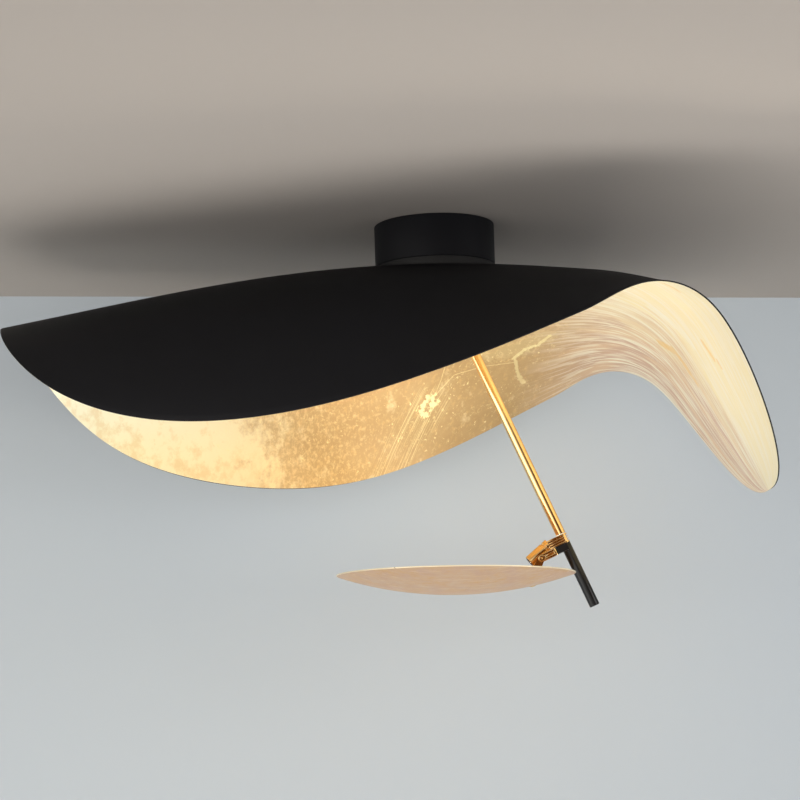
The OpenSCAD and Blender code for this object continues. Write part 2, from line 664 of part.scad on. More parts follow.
// Fork: one bent strip, a leg each side of the barrel, the near leg slotted, its web on the lug
fork_web_u = lug_reach + 0.05;
module fork() color(gold) head_frame() difference() {
    intersection() {
        translate([fork_web_u, 0, pivot_t - fork_h / 2]) linear_extrude(fork_h)
            u_section(plate_out, pivot_reach - fork_web_u + fork_h / 2, fork_t, strip_bend_r);
        translate([0, plate_out + 1, pivot_t]) rotate([90, 0, 0])
            linear_extrude(2 * plate_out + 2) {
                translate([pivot_reach, 0]) circle(d = fork_h);
                translate([0, -fork_h / 2]) square([pivot_reach, fork_h]);
            }
    }
    translate([pivot_reach, plate_out + 1, pivot_t]) rotate([90, 0, 0])
        cylinder(r = pivot_r - 0.5 + fit_gap, h = 2 * plate_out + 2);
    translate([lug_reach + 4 + fork_slot_l / 2, 0, pivot_t]) rotate([90, 0, 0])
        slot_hole(fork_slot_l, fork_slot_w, plate_out + 1);
    translate([lug_reach - 1, 0, pivot_t]) rotate([0, 90, 0]) cylinder(r = 1.7, h = 4);
}
module fork_screw() color(gold) head_frame() translate([lug_reach - 6, 0, pivot_t])
    rotate([0, 90, 0]) difference() {
        union() {
            cylinder(r = 1.5, h = 9);
            translate([0, 0, 8.1]) cylinder(r = 2.7, h = 1.6);
        }
        translate([0, 0, 8.7]) cylinder(r = 1, h = 2, $fn = 6);
    }
module pivot_screws() color(gold) head_frame() for (side = [-1, 1])
    translate([pivot_reach, side * (plate_in + 0.1), pivot_t]) rotate([-side * 90, 0, 0]) {
        cylinder(r = pivot_r - 0.5, h = fork_t + 0.1);
        translate([0, 0, fork_t - 0.05]) cylinder(d = pivot_d, h = stirrup_t + 0.6);
        translate([0, 0, fork_t + stirrup_t + 0.5]) difference() {
            cylinder(d = pivot_d + 3, h = 1.6);
            translate([0, 0, 0.6]) cylinder(r = 1, h = 2, $fn = 6);
        }
    }

// Stirrup: one bent strip, two legs on the pivot screws and a level base
leg_w = 8;
base_l = 16;
knee = 2;            // how far the legs' width runs up above the base
module stirrup() color(gold) level_frame() difference() {
    intersection() {
        translate([leg_w, 0, plate_low]) rotate([0, -90, 0])
            linear_extrude(leg_w + stud_reach + base_l / 2)
            u_section(leg_out, leg_w / 2 - plate_low, stirrup_t, strip_bend_r);
        translate([0, leg_out + 1, 0]) rotate([90, 0, 0]) linear_extrude(2 * leg_out + 2) {
            circle(d = leg_w);
            polygon([[leg_w / 2, 0], [-leg_w / 2, 0], [-stud_reach - leg_w / 2, plate_high + knee],
                [-stud_reach - leg_w / 2, plate_low], [-stud_reach + leg_w / 2, plate_low]]);
            translate([-stud_reach - base_l / 2, plate_low]) square([base_l, stirrup_t]);
        }
    }
    translate([-stud_reach, 0, plate_low - 1])
        cylinder(r = stud_d / 2 + turn_gap, h = stirrup_t + 2);
    translate([0, leg_out + 1, 0]) rotate([90, 0, 0])
        cylinder(r = pivot_r + turn_gap, h = 2 * leg_out + 2);
}

// Dish: a spun cap of a ball, held off-centre by its stud
module dish_frame() level_frame() translate([dish_x, dish_y, ball_z]) children();
module stud_frame() dish_frame() rotate([0, 0, dish_swing]) rotate([0, 180 - stud_tilt, 0])
    children();
module dish() color(leaf) difference() {
    dish_frame() difference() {
        intersection() {
            sphere(r = dish_ball_r + dish_t, $fn = 180);
            translate([0, 0, -ball_z - rim_drop - dish_depth - 5])
                cylinder(r = dish_r, h = dish_depth + 5, $fn = 180);
        }
        sphere(r = dish_ball_r, $fn = 180);
    }
    stud_frame() translate([0, 0, dish_ball_r - 5]) cylinder(r = 2 + 0.2, h = 12);
}
module dish_boss() color(gold) difference() {
    union() {
        intersection() {
            level_frame() translate([-stud_reach, 0, seat_z - 6]) cylinder(r = boss_r, h = boss_h + 6);
            dish_frame() sphere(r = dish_ball_r - 0.03, $fn = 180);
        }
        level_frame() translate([-stud_reach, 0, boss_top - 1])
            cylinder(r = stud_d / 2, h = stud_top - boss_top + 1);
    }
    stud_frame() translate([0, 0, dish_ball_r - 4.5]) cylinder(r = 2 + fit_gap, h = 10);
}
module dish_screw() color(gold) stud_frame() translate([0, 0, dish_ball_r - 3.5]) difference() {
    union() {
        cylinder(r = 2, h = 3.5 + dish_t + 0.5);
        translate([0, 0, 3.5 + dish_t + 0.05]) intersection() {
            cylinder(r = 4.5, h = 1.5);
            translate([0, 0, -6.4]) sphere(r = 7.9);
        }
    }
    translate([0, 0, 3.5 + dish_t + 0.9]) cylinder(r = 1.2, h = 2, $fn = 6);
}
module wave_washer() color(steel) level_frame() translate([-stud_reach, 0, plate_high + 0.1])
    tube(5, stud_d / 2 + 0.1, wave_t);
module stud_nut() color(gold) level_frame()
    translate([-stud_reach, 0, plate_high + 0.1 + wave_t + 0.1])
    hex_nut(10, stud_d / 2 + fit_gap, stud_nut_t);

ceiling_bracket();
earth_screw();
canopy();
canopy_screws();
led_driver();
terminal_block();
load_washer();
nipple_nut();
nipple();
saddle_pad();
shade();
shade_gilding();
hub_ring();
hub();
hub_screw();
rod();
swivel_screw();
supply_lead();
driver_leads();
earth_lead();
friction_washer();
grip();
fin_block();
lamp_barrel();
lamp_lead();
led_board();
lens();
lens_ring();
fork();
fork_screw();
pivot_screws();
stirrup();
dish();
dish_boss();
dish_screw();
wave_washer();
stud_nut();
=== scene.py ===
# %% [markdown]
# # A sculptural ceiling light
# A round canopy on the ceiling carries one large sheet of metal, bent along its spine and rolled
# across it. It is matte black above and gold leaf below. A leaning gilt rod ends in a small lamp
# head, which shines into a shallow dish, and the dish throws the light back up under the sheet.
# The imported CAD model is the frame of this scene. It says where each piece is and what it moves
# with, and this script gives the pieces their finished surfaces. All lengths are in metres.

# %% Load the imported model
import json
import math

import bmesh
import bpy
from mathutils import Matrix, Vector


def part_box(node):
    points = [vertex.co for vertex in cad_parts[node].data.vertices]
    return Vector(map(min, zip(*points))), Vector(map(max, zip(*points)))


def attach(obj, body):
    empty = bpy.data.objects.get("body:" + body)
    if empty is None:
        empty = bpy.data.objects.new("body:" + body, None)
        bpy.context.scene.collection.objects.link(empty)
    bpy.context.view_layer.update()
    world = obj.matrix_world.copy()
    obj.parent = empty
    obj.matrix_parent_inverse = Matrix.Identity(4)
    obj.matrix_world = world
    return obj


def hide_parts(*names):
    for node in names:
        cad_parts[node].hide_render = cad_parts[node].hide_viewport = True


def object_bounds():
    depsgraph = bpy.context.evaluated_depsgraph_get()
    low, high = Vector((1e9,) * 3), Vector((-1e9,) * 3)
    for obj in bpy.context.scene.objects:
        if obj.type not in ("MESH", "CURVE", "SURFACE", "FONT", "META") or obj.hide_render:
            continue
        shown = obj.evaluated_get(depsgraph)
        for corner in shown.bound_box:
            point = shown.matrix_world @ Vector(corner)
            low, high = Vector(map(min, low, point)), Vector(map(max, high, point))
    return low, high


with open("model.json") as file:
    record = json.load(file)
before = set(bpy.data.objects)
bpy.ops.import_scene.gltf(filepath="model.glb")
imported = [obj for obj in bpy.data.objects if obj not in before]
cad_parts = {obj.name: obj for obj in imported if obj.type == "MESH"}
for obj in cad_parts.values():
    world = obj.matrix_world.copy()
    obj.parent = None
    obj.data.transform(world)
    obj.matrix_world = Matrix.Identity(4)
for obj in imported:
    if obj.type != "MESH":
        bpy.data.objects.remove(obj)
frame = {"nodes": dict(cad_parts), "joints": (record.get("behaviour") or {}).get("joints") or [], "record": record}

MM = 0.001
cad_low, cad_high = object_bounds()
print("CAD box in mm:", [round(v / MM, 1) for v in (*cad_low, *cad_high)])


def link(name, data):
    """A new object in the scene, for a mesh, a lamp or the camera."""
    thing = bpy.data.objects.new(name, data)
    bpy.context.scene.collection.objects.link(thing)
    return thing


# %% [markdown]
# ## The camera
# The view was worked out from the photograph: the round canopy, both rims of the sheet and the
# straight rod fix where the lens stood. It looks slightly up from below the sheet, from 2.1 m away.
# A long lens keeps the lines calm, and a small lean of the camera is kept too.

# %% The camera
SENSOR_WIDTH_MM = 36.0
FOCAL_LENGTH_MM = 88.68
CAMERA_PLACE = Vector((-0.0428, -2.1, -0.4771))
LOOKS_UP = math.radians(7.802)
LEANS = math.radians(-1.8)

camera_data = bpy.data.cameras.new("photo_camera")
camera_data.sensor_width = SENSOR_WIDTH_MM
camera_data.lens = FOCAL_LENGTH_MM
camera = link("photo_camera", camera_data)
bpy.context.scene.camera = camera
camera.matrix_world = (Matrix.Translation(CAMERA_PLACE)
                       @ Matrix.Rotation(math.radians(90) + LOOKS_UP, 4, "X")
                       @ Matrix.Rotation(LEANS, 4, "Z"))
print("camera at", [round(v, 3) for v in CAMERA_PLACE])

# %% [markdown]
# ## Small helpers for node trees
# Both Geometry Nodes and shader trees are made of nodes joined by links. One helper adds a node and
# fills its sockets. A second one lets a formula be written with plus, minus and times, and adds a
# Math node for each step, so that the laws of the sheet read here as they would on paper.

# %% Add a node and plug values into it
NODES_IN_A_ROW = 24
NODE_WIDTH = 190
NODE_HEIGHT = 260


def socket_of(value):
    """The socket that a formula stands for, or a node's first output. Others stay as they are."""
    if isinstance(value, Formula):
        return value.socket
    if isinstance(value, bpy.types.Node):
        return value.outputs[0]
    return value


def plug(tree, value, socket):
    """Joins a node, a formula or a socket to a socket, or sets a plain value on it."""
    value = socket_of(value)
    if isinstance(value, bpy.types.NodeSocket):
        tree.links.new(value, socket)
    else:
        socket.default_value = value


def add(tree, kind, inputs=None, **settings):
    """Adds a node of that kind, with its settings and the values of its sockets."""
    node = tree.nodes.new(kind)
    row, column = divmod(len(tree.nodes), NODES_IN_A_ROW)
    node.location = (NODE_WIDTH * column, -NODE_HEIGHT * row)
    for name, value in settings.items():
        setattr(node, name, value)
    for name, value in (inputs or {}).items():
        plug(tree, value, node.inputs[name])
    return node


# %% A formula that builds its own Math nodes
def math_step(operation, last=False):
    """A method that adds one Math node. The formula goes first in it, unless last is set."""
    def method(self, *others):
        values = (*others, self) if last else (self, *others)
        inputs = dict(enumerate(values))
        return Formula(add(self.socket.id_data, "ShaderNodeMath", inputs, operation=operation))
    return method


class Formula:
    """A value that flows through a node tree. Arithmetic on a number adds Math nodes."""

    def __init__(self, value):
        self.socket = socket_of(value)

    __add__ = __radd__ = math_step("ADD")
    __sub__ = math_step("SUBTRACT")
    __rsub__ = math_step("SUBTRACT", last=True)
    __mul__ = __rmul__ = math_step("MULTIPLY")
    __truediv__ = math_step("DIVIDE")
    __rtruediv__ = math_step("DIVIDE", last=True)
    __pow__ = math_step("POWER")
    at_least = math_step("MAXIMUM")
    at_most = math_step("MINIMUM")
    below = math_step("LESS_THAN")
    sine = math_step("SINE")
    cosine = math_step("COSINE")
    size = math_step("ABSOLUTE")
    rounded = math_step("ROUND")
    left_over = math_step("MODULO")
    # climbs to a limit, falls back to 0 and climbs again
    to_and_fro = math_step("PINGPONG")

    def clipped(self):
        return self.at_least(0).at_most(1)

    def between(self, low, high):
        """0 at low, 1 at high, and a soft slope from one to the other."""
        part = ((self - low) / (high - low)).clipped()
        return part * part * (3 - 2 * part)


# %% Vectors and colours
def joined(tree, x=0.0, y=0.0, z=0.0):
    """One vector from three numbers."""
    return add(tree, "ShaderNodeCombineXYZ", {"X": x, "Y": y, "Z": z})


def parts_of(tree, vector):
    """The three numbers of a vector."""
    return [Formula(part) for part in add(tree, "ShaderNodeSeparateXYZ", {0: vector}).outputs]


def mixed(tree, part, first, second):
    """The first colour where the part is 0, the second where it is 1."""
    return add(tree, "ShaderNodeMix", {0: part, 6: first, 7: second}, data_type="RGBA").outputs[2]


# %% New trees with named inputs
FLOAT, INT, VECTOR = "NodeSocketFloat", "NodeSocketInt", "NodeSocketVector"
GEOMETRY, MATERIAL = "NodeSocketGeometry", "NodeSocketMaterial"


def titled(name):
    """The name of a socket, such as Per Metre, from a keyword such as per_metre."""
    return name.replace("_", " ").title()


def new_tree(name, kind, gives, **inputs):
    """A node group with one result. An input is given by its first value, or by the type of its
    socket. Back come the tree, its inputs as formulas by name, and the socket of the result."""
    tree = bpy.data.node_groups.new(name, kind)
    for label, value in inputs.items():
        number = isinstance(value, (int, float))
        socket_kind = {int: INT, float: FLOAT}[type(value)] if number else value
        socket = tree.interface.new_socket(titled(label), in_out="INPUT", socket_type=socket_kind)
        if number:
            socket.default_value = value
    tree.interface.new_socket("Result", in_out="OUTPUT", socket_type=gives)
    inside = tree.nodes.new("NodeGroupInput")
    given = {socket.name: Formula(socket) for socket in inside.outputs}
    return tree, given, tree.nodes.new("NodeGroupOutput").inputs["Result"]


def mask_group(name, **sizes):
    """A shader group that reads a vector and puts out one mask."""
    return new_tree(name, "ShaderNodeTree", FLOAT, vector=VECTOR, **sizes)


def mesh_tree(name, **inputs):
    """A Geometry Nodes tree that puts out a mesh with a material. What it starts from, if it
    starts from a mesh, has to be its first input."""
    return new_tree(name, "GeometryNodeTree", GEOMETRY, **inputs, material=MATERIAL)


# %% [markdown]
# ## Shader groups shared by the finishes
# A group puts out a mask or a height that changes over the surface, and each material mixes it in
# with its own colours. They read Object coordinates, which are metres here, so a scale of 1000 is a
# grain of one millimetre. In the leaf they read the sheet's own coordinates instead, so that the
# marks of the leaf follow the bend.

# %% Fine grain and slow clouds
def seeded_noise(tree, given, scale, **inputs):
    """A noise over the group's own vector. Another seed gives another pattern."""
    sockets = {"Vector": given["Vector"], "W": given["Seed"], "Scale": scale, **inputs}
    noise = add(tree, "ShaderNodeTexNoise", sockets, noise_dimensions="4D")
    return Formula(noise)


def grain_group():
    tree, given, result = mask_group("fine grain", per_metre=1000.0, roughness=0.6)
    noise = add(tree, "ShaderNodeTexNoise", {"Vector": given["Vector"], "Detail": 3.0,
                "Scale": given["Per Metre"], "Roughness": given["Roughness"]})
    plug(tree, noise, result)
    return tree


def mottle_group():
    """Clouds of two sizes, pushed apart, as in hand-laid leaf or worn paint."""
    tree, given, result = mask_group("mottle", per_metre=20.0, contrast=2.0, seed=0.0)
    large = seeded_noise(tree, given, given["Per Metre"], Detail=4.0, Roughness=0.55)
    small = seeded_noise(tree, given, given["Per Metre"] * 4.3, Detail=4.0, Roughness=0.55)
    centred = (large * 0.6 + small * 0.4 - 0.5) * given["Contrast"] + 0.5
    plug(tree, centred.clipped(), result)
    return tree


# %% Hairline scratches
def scratch_group():
    """Thin lines: a noise stretched along one way, of which only the crests are kept."""
    tree, given, result = mask_group("hairlines", per_metre=300.0, length=30.0, turn=0.0,
                                     amount=0.1)
    across = given["Per Metre"]
    turned = add(tree, "ShaderNodeVectorRotate", {"Vector": given["Vector"],
                 "Angle": given["Turn"]}, rotation_type="Z_AXIS")
    stretched = add(tree, "ShaderNodeVectorMath", {0: turned,
                    1: joined(tree, across / given["Length"], across, across)},
                    operation="MULTIPLY")
    noise = add(tree, "ShaderNodeTexNoise", {"Vector": stretched, "Scale": 1.0,
                "Detail": 2.0, "Distortion": 0.3})
    limit = 0.72 - given["Amount"]
    crest = (Formula(noise) - limit) * 14
    plug(tree, crest.clipped(), result)
    return tree


# %% Torn patches and small creases
def torn_group():
    """Patches with crisp, crumbling edges. Cover is the share of the surface they take."""
    tree, given, result = mask_group("torn patches", per_metre=20.0, cover=0.5, crisp=12.0,
                                     seed=0.0)
    noise = seeded_noise(tree, given, given["Per Metre"], Detail=7.0, Roughness=0.68,
                         Lacunarity=2.1)
    # most of the noise lies between 0.3 and 0.7
    edge = 0.7 - given["Cover"] * 0.4
    sharp = (noise - edge) * given["Crisp"] + 0.5
    plug(tree, sharp.clipped(), result)
    return tree


def crease_group():
    """Short winding creases: the thin zone where a noise passes its middle value."""
    tree, given, result = mask_group("creases", per_metre=160.0, width=0.03, seed=0.0)
    noise = seeded_noise(tree, given, given["Per Metre"], Detail=2.0, Distortion=0.6)
    far = (noise - 0.5).size() / given["Width"]
    plug(tree, (1 - far).at_least(0), result)
    return tree


GRAIN = grain_group()
MOTTLE = mottle_group()
HAIRLINES = scratch_group()
TORN = torn_group()
CREASES = crease_group()
print("shader groups:", [group.name for group in (GRAIN, MOTTLE, HAIRLINES, TORN, CREASES)])

# %% [markdown]
# ## A material, step by step
# Every finish is a Principled BSDF. A colour is built from layers: a base tone, a second tone where
# a mask is high, and so on. The helper below keeps the tree and offers those layers by name.

# %% A finish and its layers
class Finish:
    """A material under construction: its tree, its shader and the coordinates it reads."""

    def __init__(self, name, color, metallic=0.0, attribute=None):
        self.material = bpy.data.materials.new(name)
        self.material.use_nodes = True
        self.tree = self.material.node_tree
        self.tree.nodes.clear()
        self.shader = add(self.tree, "ShaderNodeBsdfPrincipled", {"Metallic": metallic})
        self.surface = add(self.tree, "ShaderNodeOutputMaterial").inputs["Surface"]
        plug(self.tree, self.shader, self.surface)
        if attribute:
            source = add(self.tree, "ShaderNodeAttribute", attribute_name=attribute)
            self.where = source.outputs["Vector"]
        else:
            self.where = add(self.tree, "ShaderNodeTexCoord").outputs["Object"]
        self.color = color
        self.height = None

    def marked(self, attribute):
        """1 where the piece's own attribute marks it."""
        node = add(self.tree, "ShaderNodeAttribute", attribute_name=attribute)
        return Formula(node.outputs["Fac"])

    def mask(self, group, **inputs):
        """The output of a shader group, with values for its inputs."""
        node = add(self.tree, "ShaderNodeGroup", {"Vector": self.where}, node_tree=group)
        for key, value in inputs.items():
            plug(self.tree, value, node.inputs[titled(key)])
        return Formula(node)

    def paint(self, mask, color):
        """Lays a second colour over the first where the mask is high."""
        self.color = mixed(self.tree, mask, self.color, color)

    def clouded(self, share, color, **inputs):
        """Paints slow clouds of a second colour, and returns their mask."""
        clouds = self.mask(MOTTLE, **inputs)
        self.paint(clouds * share, color)
        return clouds

    def raise_surface(self, height, depth):
        """Adds a height, in metres, to the relief."""
        part = height * depth
        self.height = part if self.height is None else self.height + part

    def done(self, roughness, **sockets):
        """Plugs everything in. Other sockets of the shader are given by name."""
        plug(self.tree, self.color, self.shader.inputs["Base Color"])
        plug(self.tree, roughness, self.shader.inputs["Roughness"])
        if self.height is not None:
            bump = add(self.tree, "ShaderNodeBump", {"Height": self.height, "Distance": 1.0})
            plug(self.tree, bump, self.shader.inputs["Normal"])
        for name, value in sockets.items():
            plug(self.tree, value, self.shader.inputs[name.replace("_", " ")])
        return self.material


def rgb(red, green, blue):
    """A colour as a picture shows it, 0 to 255, turned into light."""
    parts = [(v / 255 / 12.92) if v <= 10 else ((v / 255 + 0.055) / 1.055) ** 2.4
             for v in (red, green, blue)]
    return (*parts, 1.0)


# %% [markdown]
# ## The paint and the leaf
# The black is a powder coat: nearly no shine, a grain of under a millimetre and a slow unevenness.
# The leaf is beaten metal laid by hand in small squares and lacquered. It shows warm clouds, short
# bright flecks where it wrinkled, hairlines from the burnishing pad, and on the downturned lobe long
# streaks that run with the bend. Light is painted into it as well: the tail and the lobe get paler,
# creamier tones where they catch the light, the flecks and streaks are painted lighter as glints and
# sheen, and a star of painted glare stands for the lamp mirrored in creased leaf. Its coordinates are
# the sheet's own: along, across, and the share of the half width. A picture could carry such marks
# too, but laws and masks stay sharp at any size and are easy to change.

# %% Matte black paint
def black_paint():
    finish = Finish("matte_black_paint", rgb(15, 15, 18))
    clouds = finish.clouded(0.6, rgb(21, 22, 27), per_metre=9.0, contrast=1.6)
    fine = finish.mask(GRAIN, per_metre=1400.0)
    finish.raise_surface(fine, 0.00004)
    return finish.done(0.50 + clouds * 0.06 + fine * 0.08, Specular_IOR_Level=0.2)


# %% Marks of the hand in the leaf, with painted glare and sheen, on the flat blank
# Each is a run of points (along, across) in millimetres and half a width.
# The star is painted glare, the lamp mirrored in creased leaf; the splits are creases that run out from it,
# painted pale as glints.
GLARE_STAR = ([(-17, 268), (-8, 258)], 12.0)
SPLITS = [([(-48, 331), (-16, 280)], 0.5),
          ([(-42, 331), (-10, 280)], 0.4),
          ([(-7, 256), (22, 229), (60, 226), (99, 230)], 0.6),
          ([(97, 222), (101, 240), (104, 258)], 2.0),
          ([(104, 256), (112, 272)], 2.6),
          ([(96, 222), (108, 208), (124, 202), (136, 184)], 2.4),
          ([(-7, 262), (5, 232), (14, 200)], 0.45)]
LIPS = ([(56, 200), (98, 206), (128, 186)], 16.0)
SCORED = ([(-70, 330), (-12, 262)], 26.0)
DABS = [([(243, -216), (261, -202)], 4.6),
        ([(272, 111), (290, 84), (318, 78)], 6.4),
        ([(318, 78), (336, 74)], 4.0),
        ([(312, -80), (331, -85)], 4.8),
        ([(338, -98), (344, -98)], 3.4)]
# A band of painted gloss on the lobe: a painted highlight.
PAINTED_GLOSS = ([(244, 12), (300, -20)], 9.0)


class LeafPlace:
    """Where a point of the leaf lies, and how far it is part of the tail and of the lobe."""

    def __init__(self, finish):
        self.along, self.across, self.share = parts_of(finish.tree, finish.where)
        self.tail = 1 - (self.along - self.share * 0.06).between(-0.38, -0.19)
        self.lobe = self.along.between(0.09, 0.24)
        finish.where = joined(finish.tree, self.along, self.across * 0.8)
        self.ragged = (finish.mask(GRAIN, per_metre=170.0, roughness=0.7) - 0.5) * 0.02

    def near(self, run, ragged=0.0):
        """1 on a run of points, 0 outside its half width. Ragged is a share of the raggedness."""
        points, half = run
        nearest = None
        for (a, b), (c, d) in zip(points, points[1:]):
            start, way = Vector((a, b)) * MM, Vector((c - a, d - b)) * MM
            x, y = self.along - start.x, self.across - start.y
            part = ((x * way.x + y * way.y) / way.length_squared).clipped()
            off = ((x - part * way.x) ** 2 + (y - part * way.y) ** 2) ** 0.5
            nearest = off if nearest is None else nearest.at_most(off)
        edge = nearest + self.ragged * ragged
        return 1 - edge.between(half * MM * 0.7, half * MM * 1.3)


# %% The flat part of the leaf
def flat_leaf(finish, place):
    """Warm clouds, and paler leaf that crumbles away from the tail. The paler tail is painted light:
    frost and pale patches spread towards it, and it is painted near-white.
    """
    clouds = finish.clouded(0.6, rgb(184, 150, 100), per_metre=30.0, contrast=3.0)
    crumbs = finish.mask(TORN, per_metre=120.0, crisp=10.0, cover=0.30, seed=4.0)
    frost = finish.mask(TORN, per_metre=210.0, crisp=8.0, seed=7.0,
                        cover=0.46 - place.along.between(-0.24, 0.06) * 0.34)
    pale = finish.mask(TORN, per_metre=44.0, crisp=7.0,
                       cover=0.20 + place.tail * 0.85 - place.share * 0.06)
    # Warmer patches, more of them towards the far rim, shown only over the tail.
    far_rim_patches = finish.mask(TORN, per_metre=60.0, crisp=8.0, seed=2.0,
                       cover=place.share.between(0.6, 1.0) * 0.42 + 0.06)
    finish.paint(crumbs * 0.45, rgb(226, 190, 128))
    # Painted light: frost and pale patches spread towards the tail, and the tail is painted a near-white cream,
    # for the light the tail catches.
    finish.paint(frost * 0.42, rgb(250, 224, 164))
    finish.paint(pale * 0.8, rgb(244, 226, 174))
    finish.paint(place.tail * (0.50 + pale * 0.45), rgb(255, 251, 222))
    finish.paint(far_rim_patches * place.tail * 0.42, rgb(232, 200, 142))
    return clouds, crumbs


def marks_and_glints(finish, place, crumbs):
    """Sparse flakes and specks in loose clusters, burnishing marks, the star and the splits. Their pale
    paint is partly painted glints on real creases and specks, and the star is painted glare of the lamp.
    """
    cluster = finish.mask(TORN, per_metre=16.0, crisp=4.0, cover=0.46, seed=9.0)
    broken = finish.mask(TORN, per_metre=110.0, crisp=12.0, cover=0.34, seed=3.0)
    creases = finish.mask(CREASES, per_metre=110.0, width=0.030) * cluster * broken
    specks = finish.mask(TORN, per_metre=210.0, crisp=18.0, cover=0.07 + cluster * 0.16, seed=11.0)
    hairs = finish.mask(HAIRLINES, per_metre=760.0, length=90.0, amount=0.17, turn=0.87)
    # Painted glare: a star of pale paint where the lamp is mirrored in the creased leaf.
    star = finish.mask(TORN, per_metre=130.0, crisp=12.0, seed=5.0,
                       cover=place.near(GLARE_STAR, 1.0) * 0.62 - 0.08)
    splits = None
    for run in SPLITS:
        one = place.near(run, 0.02 + 0.14 * run[1])
        splits = one if splits is None else splits.at_least(one)
    lips = place.near(LIPS, 2.2) * (0.45 + crumbs * 0.55)
    shown = 1 - (place.tail * 0.8).at_least(place.lobe * 0.8)
    marks = (creases + specks * 1.3 + hairs * place.near(SCORED) * 0.45) * shown
    return (marks + star + splits * 0.5 + lips * 0.4).at_most(1)


# %% The lobe, and the whole leaf
def lobe_leaf(finish, place):
    """Pinkish leaf with pale streaks that run to the lobe's tip. It returns the streaks. The lobe's pink
    tone, its pale veil and outer part and its gloss band are painted light, and the streaks' pale paint
    is a painted sheen on real marks.
    """
    # Painted light: the lobe's pinkish tone, and the pale paint below, stand for the light and reflections it
    # catches from the dish and the room.
    finish.paint(place.lobe * 0.95, rgb(220, 184, 156))
    finish.where = joined(finish.tree, place.along, place.share * 0.20)
    veil = finish.mask(HAIRLINES, per_metre=30.0, length=6.0, amount=0.22)
    broad = finish.mask(HAIRLINES, per_metre=75.0, length=10.0, amount=0.19)
    fine = finish.mask(HAIRLINES, per_metre=210.0, length=16.0, amount=0.185)
    finest = finish.mask(HAIRLINES, per_metre=480.0, length=22.0, amount=0.175)
    streaks = (broad * 0.55 + fine * 0.8 + finest * 0.6).at_most(1) * place.lobe
    outer = 1 - (place.share + (place.along - 0.25) * 1.1).between(-0.30, 0.80)
    finish.where = joined(finish.tree, place.along * 0.2, place.share * 0.20)
    cream = finish.mask(TORN, per_metre=45.0, crisp=2.4, cover=outer * 1.7 - 0.25 + veil * 0.1)
    dabs = sum(place.near(run, 0.5) for run in DABS).at_most(1)
    finish.paint(veil * place.lobe * 0.45, rgb(246, 214, 166))
    finish.paint(cream * place.lobe * 0.9, rgb(255, 244, 200))
    # The streaks are raised in relief as well; painting them pale adds a painted sheen along them.
    finish.paint(streaks * 0.95, rgb(255, 246, 220))
    # A painted highlight: a band of gloss painted near-white.
    finish.paint(place.near(PAINTED_GLOSS, 0.5) * 0.5, rgb(255, 252, 236))
    finish.paint(dabs * 0.7, rgb(248, 208, 122))
    return streaks


def gold_leaf():
    finish = Finish("gold_leaf", rgb(200, 168, 118), metallic=0.55, attribute="sheet")
    place = LeafPlace(finish)
    clouds, crumbs = flat_leaf(finish, place)
    bright = marks_and_glints(finish, place, crumbs)
    streaks = lobe_leaf(finish, place)
    # Painted glints and glare: the marks and the star are painted pale over the leaf.
    finish.paint(bright, rgb(255, 240, 178))
    finish.raise_surface(bright * (1 - place.lobe), 0.00010)
    finish.raise_surface(crumbs, 0.00005)
    finish.raise_surface(streaks, 0.00008)
    return finish.done(0.42 - bright * 0.12 - streaks * 0.12 + clouds * 0.06,
                       Coat_Weight=0.15, Coat_Roughness=0.25)


# %% Leaf on the dish
def dish_leaf():
    """Duller than the sheet's leaf, with a pale lip that the attribute marks: a painted highlight along the rim.
    """
    finish = Finish("dish_leaf", rgb(214, 184, 156), metallic=0.6)
    clouds = finish.clouded(0.75, rgb(216, 174, 122), per_metre=40.0, contrast=4.0)
    patches = finish.mask(TORN, per_metre=55.0, crisp=7.0, cover=0.45, seed=5.0)
    hairs = finish.mask(HAIRLINES, per_metre=420.0, length=26.0, amount=0.12)
    lip = finish.marked("lip")
    finish.paint(patches * 0.5, rgb(206, 170, 150))
    finish.paint(hairs * 0.35, rgb(240, 216, 178))
    # Painted highlight: the lip is painted pale all round, where the rim catches the light.
    finish.paint(lip * 0.9, rgb(255, 244, 214))
    finish.raise_surface(patches, 0.00005)
    return finish.done(0.42 + clouds * 0.12 - hairs * 0.1 - lip * 0.1)


# %% [markdown]
# ## The metals, rubbers and plastics
# Polished brass is nearly a mirror. What keeps it from looking like a render is faint: a soft haze
# that comes and goes, and hairlines left by the mop. Zinc plate is duller and cooler, turned brass
# shows the marks of the tool, and the black grip is anodised, a thin dark skin with little shine.

# %% Polished gilt, turned brass and zinc plate
def polished_gilt():
    finish = Finish("polished_gilt", rgb(246, 208, 146), metallic=1.0)
    haze = finish.clouded(0.4, rgb(234, 190, 120), per_metre=60.0, contrast=2.4)
    hairs = finish.mask(HAIRLINES, per_metre=1800.0, length=40.0, amount=0.16, turn=0.4)
    finish.raise_surface(hairs, 0.000004)
    return finish.done(0.07 + haze * 0.07 + hairs * 0.14)


def turned_brass():
    finish = Finish("turned_brass", rgb(206, 168, 96), metallic=1.0)
    haze = finish.clouded(0.5, rgb(184, 144, 78), per_metre=120.0, contrast=2.6)
    hairs = finish.mask(HAIRLINES, per_metre=2500.0, length=30.0, amount=0.2)
    finish.raise_surface(hairs, 0.00001)
    return finish.done(0.24 + haze * 0.12 + hairs * 0.1)


def zinc_plate():
    finish = Finish("zinc_plate", rgb(196, 199, 202), metallic=1.0)
    clouds = finish.clouded(0.5, rgb(172, 176, 184), per_metre=140.0, contrast=3.0)
    finish.raise_surface(finish.mask(GRAIN, per_metre=4000.0), 0.000008)
    return finish.done(0.28 + clouds * 0.16)


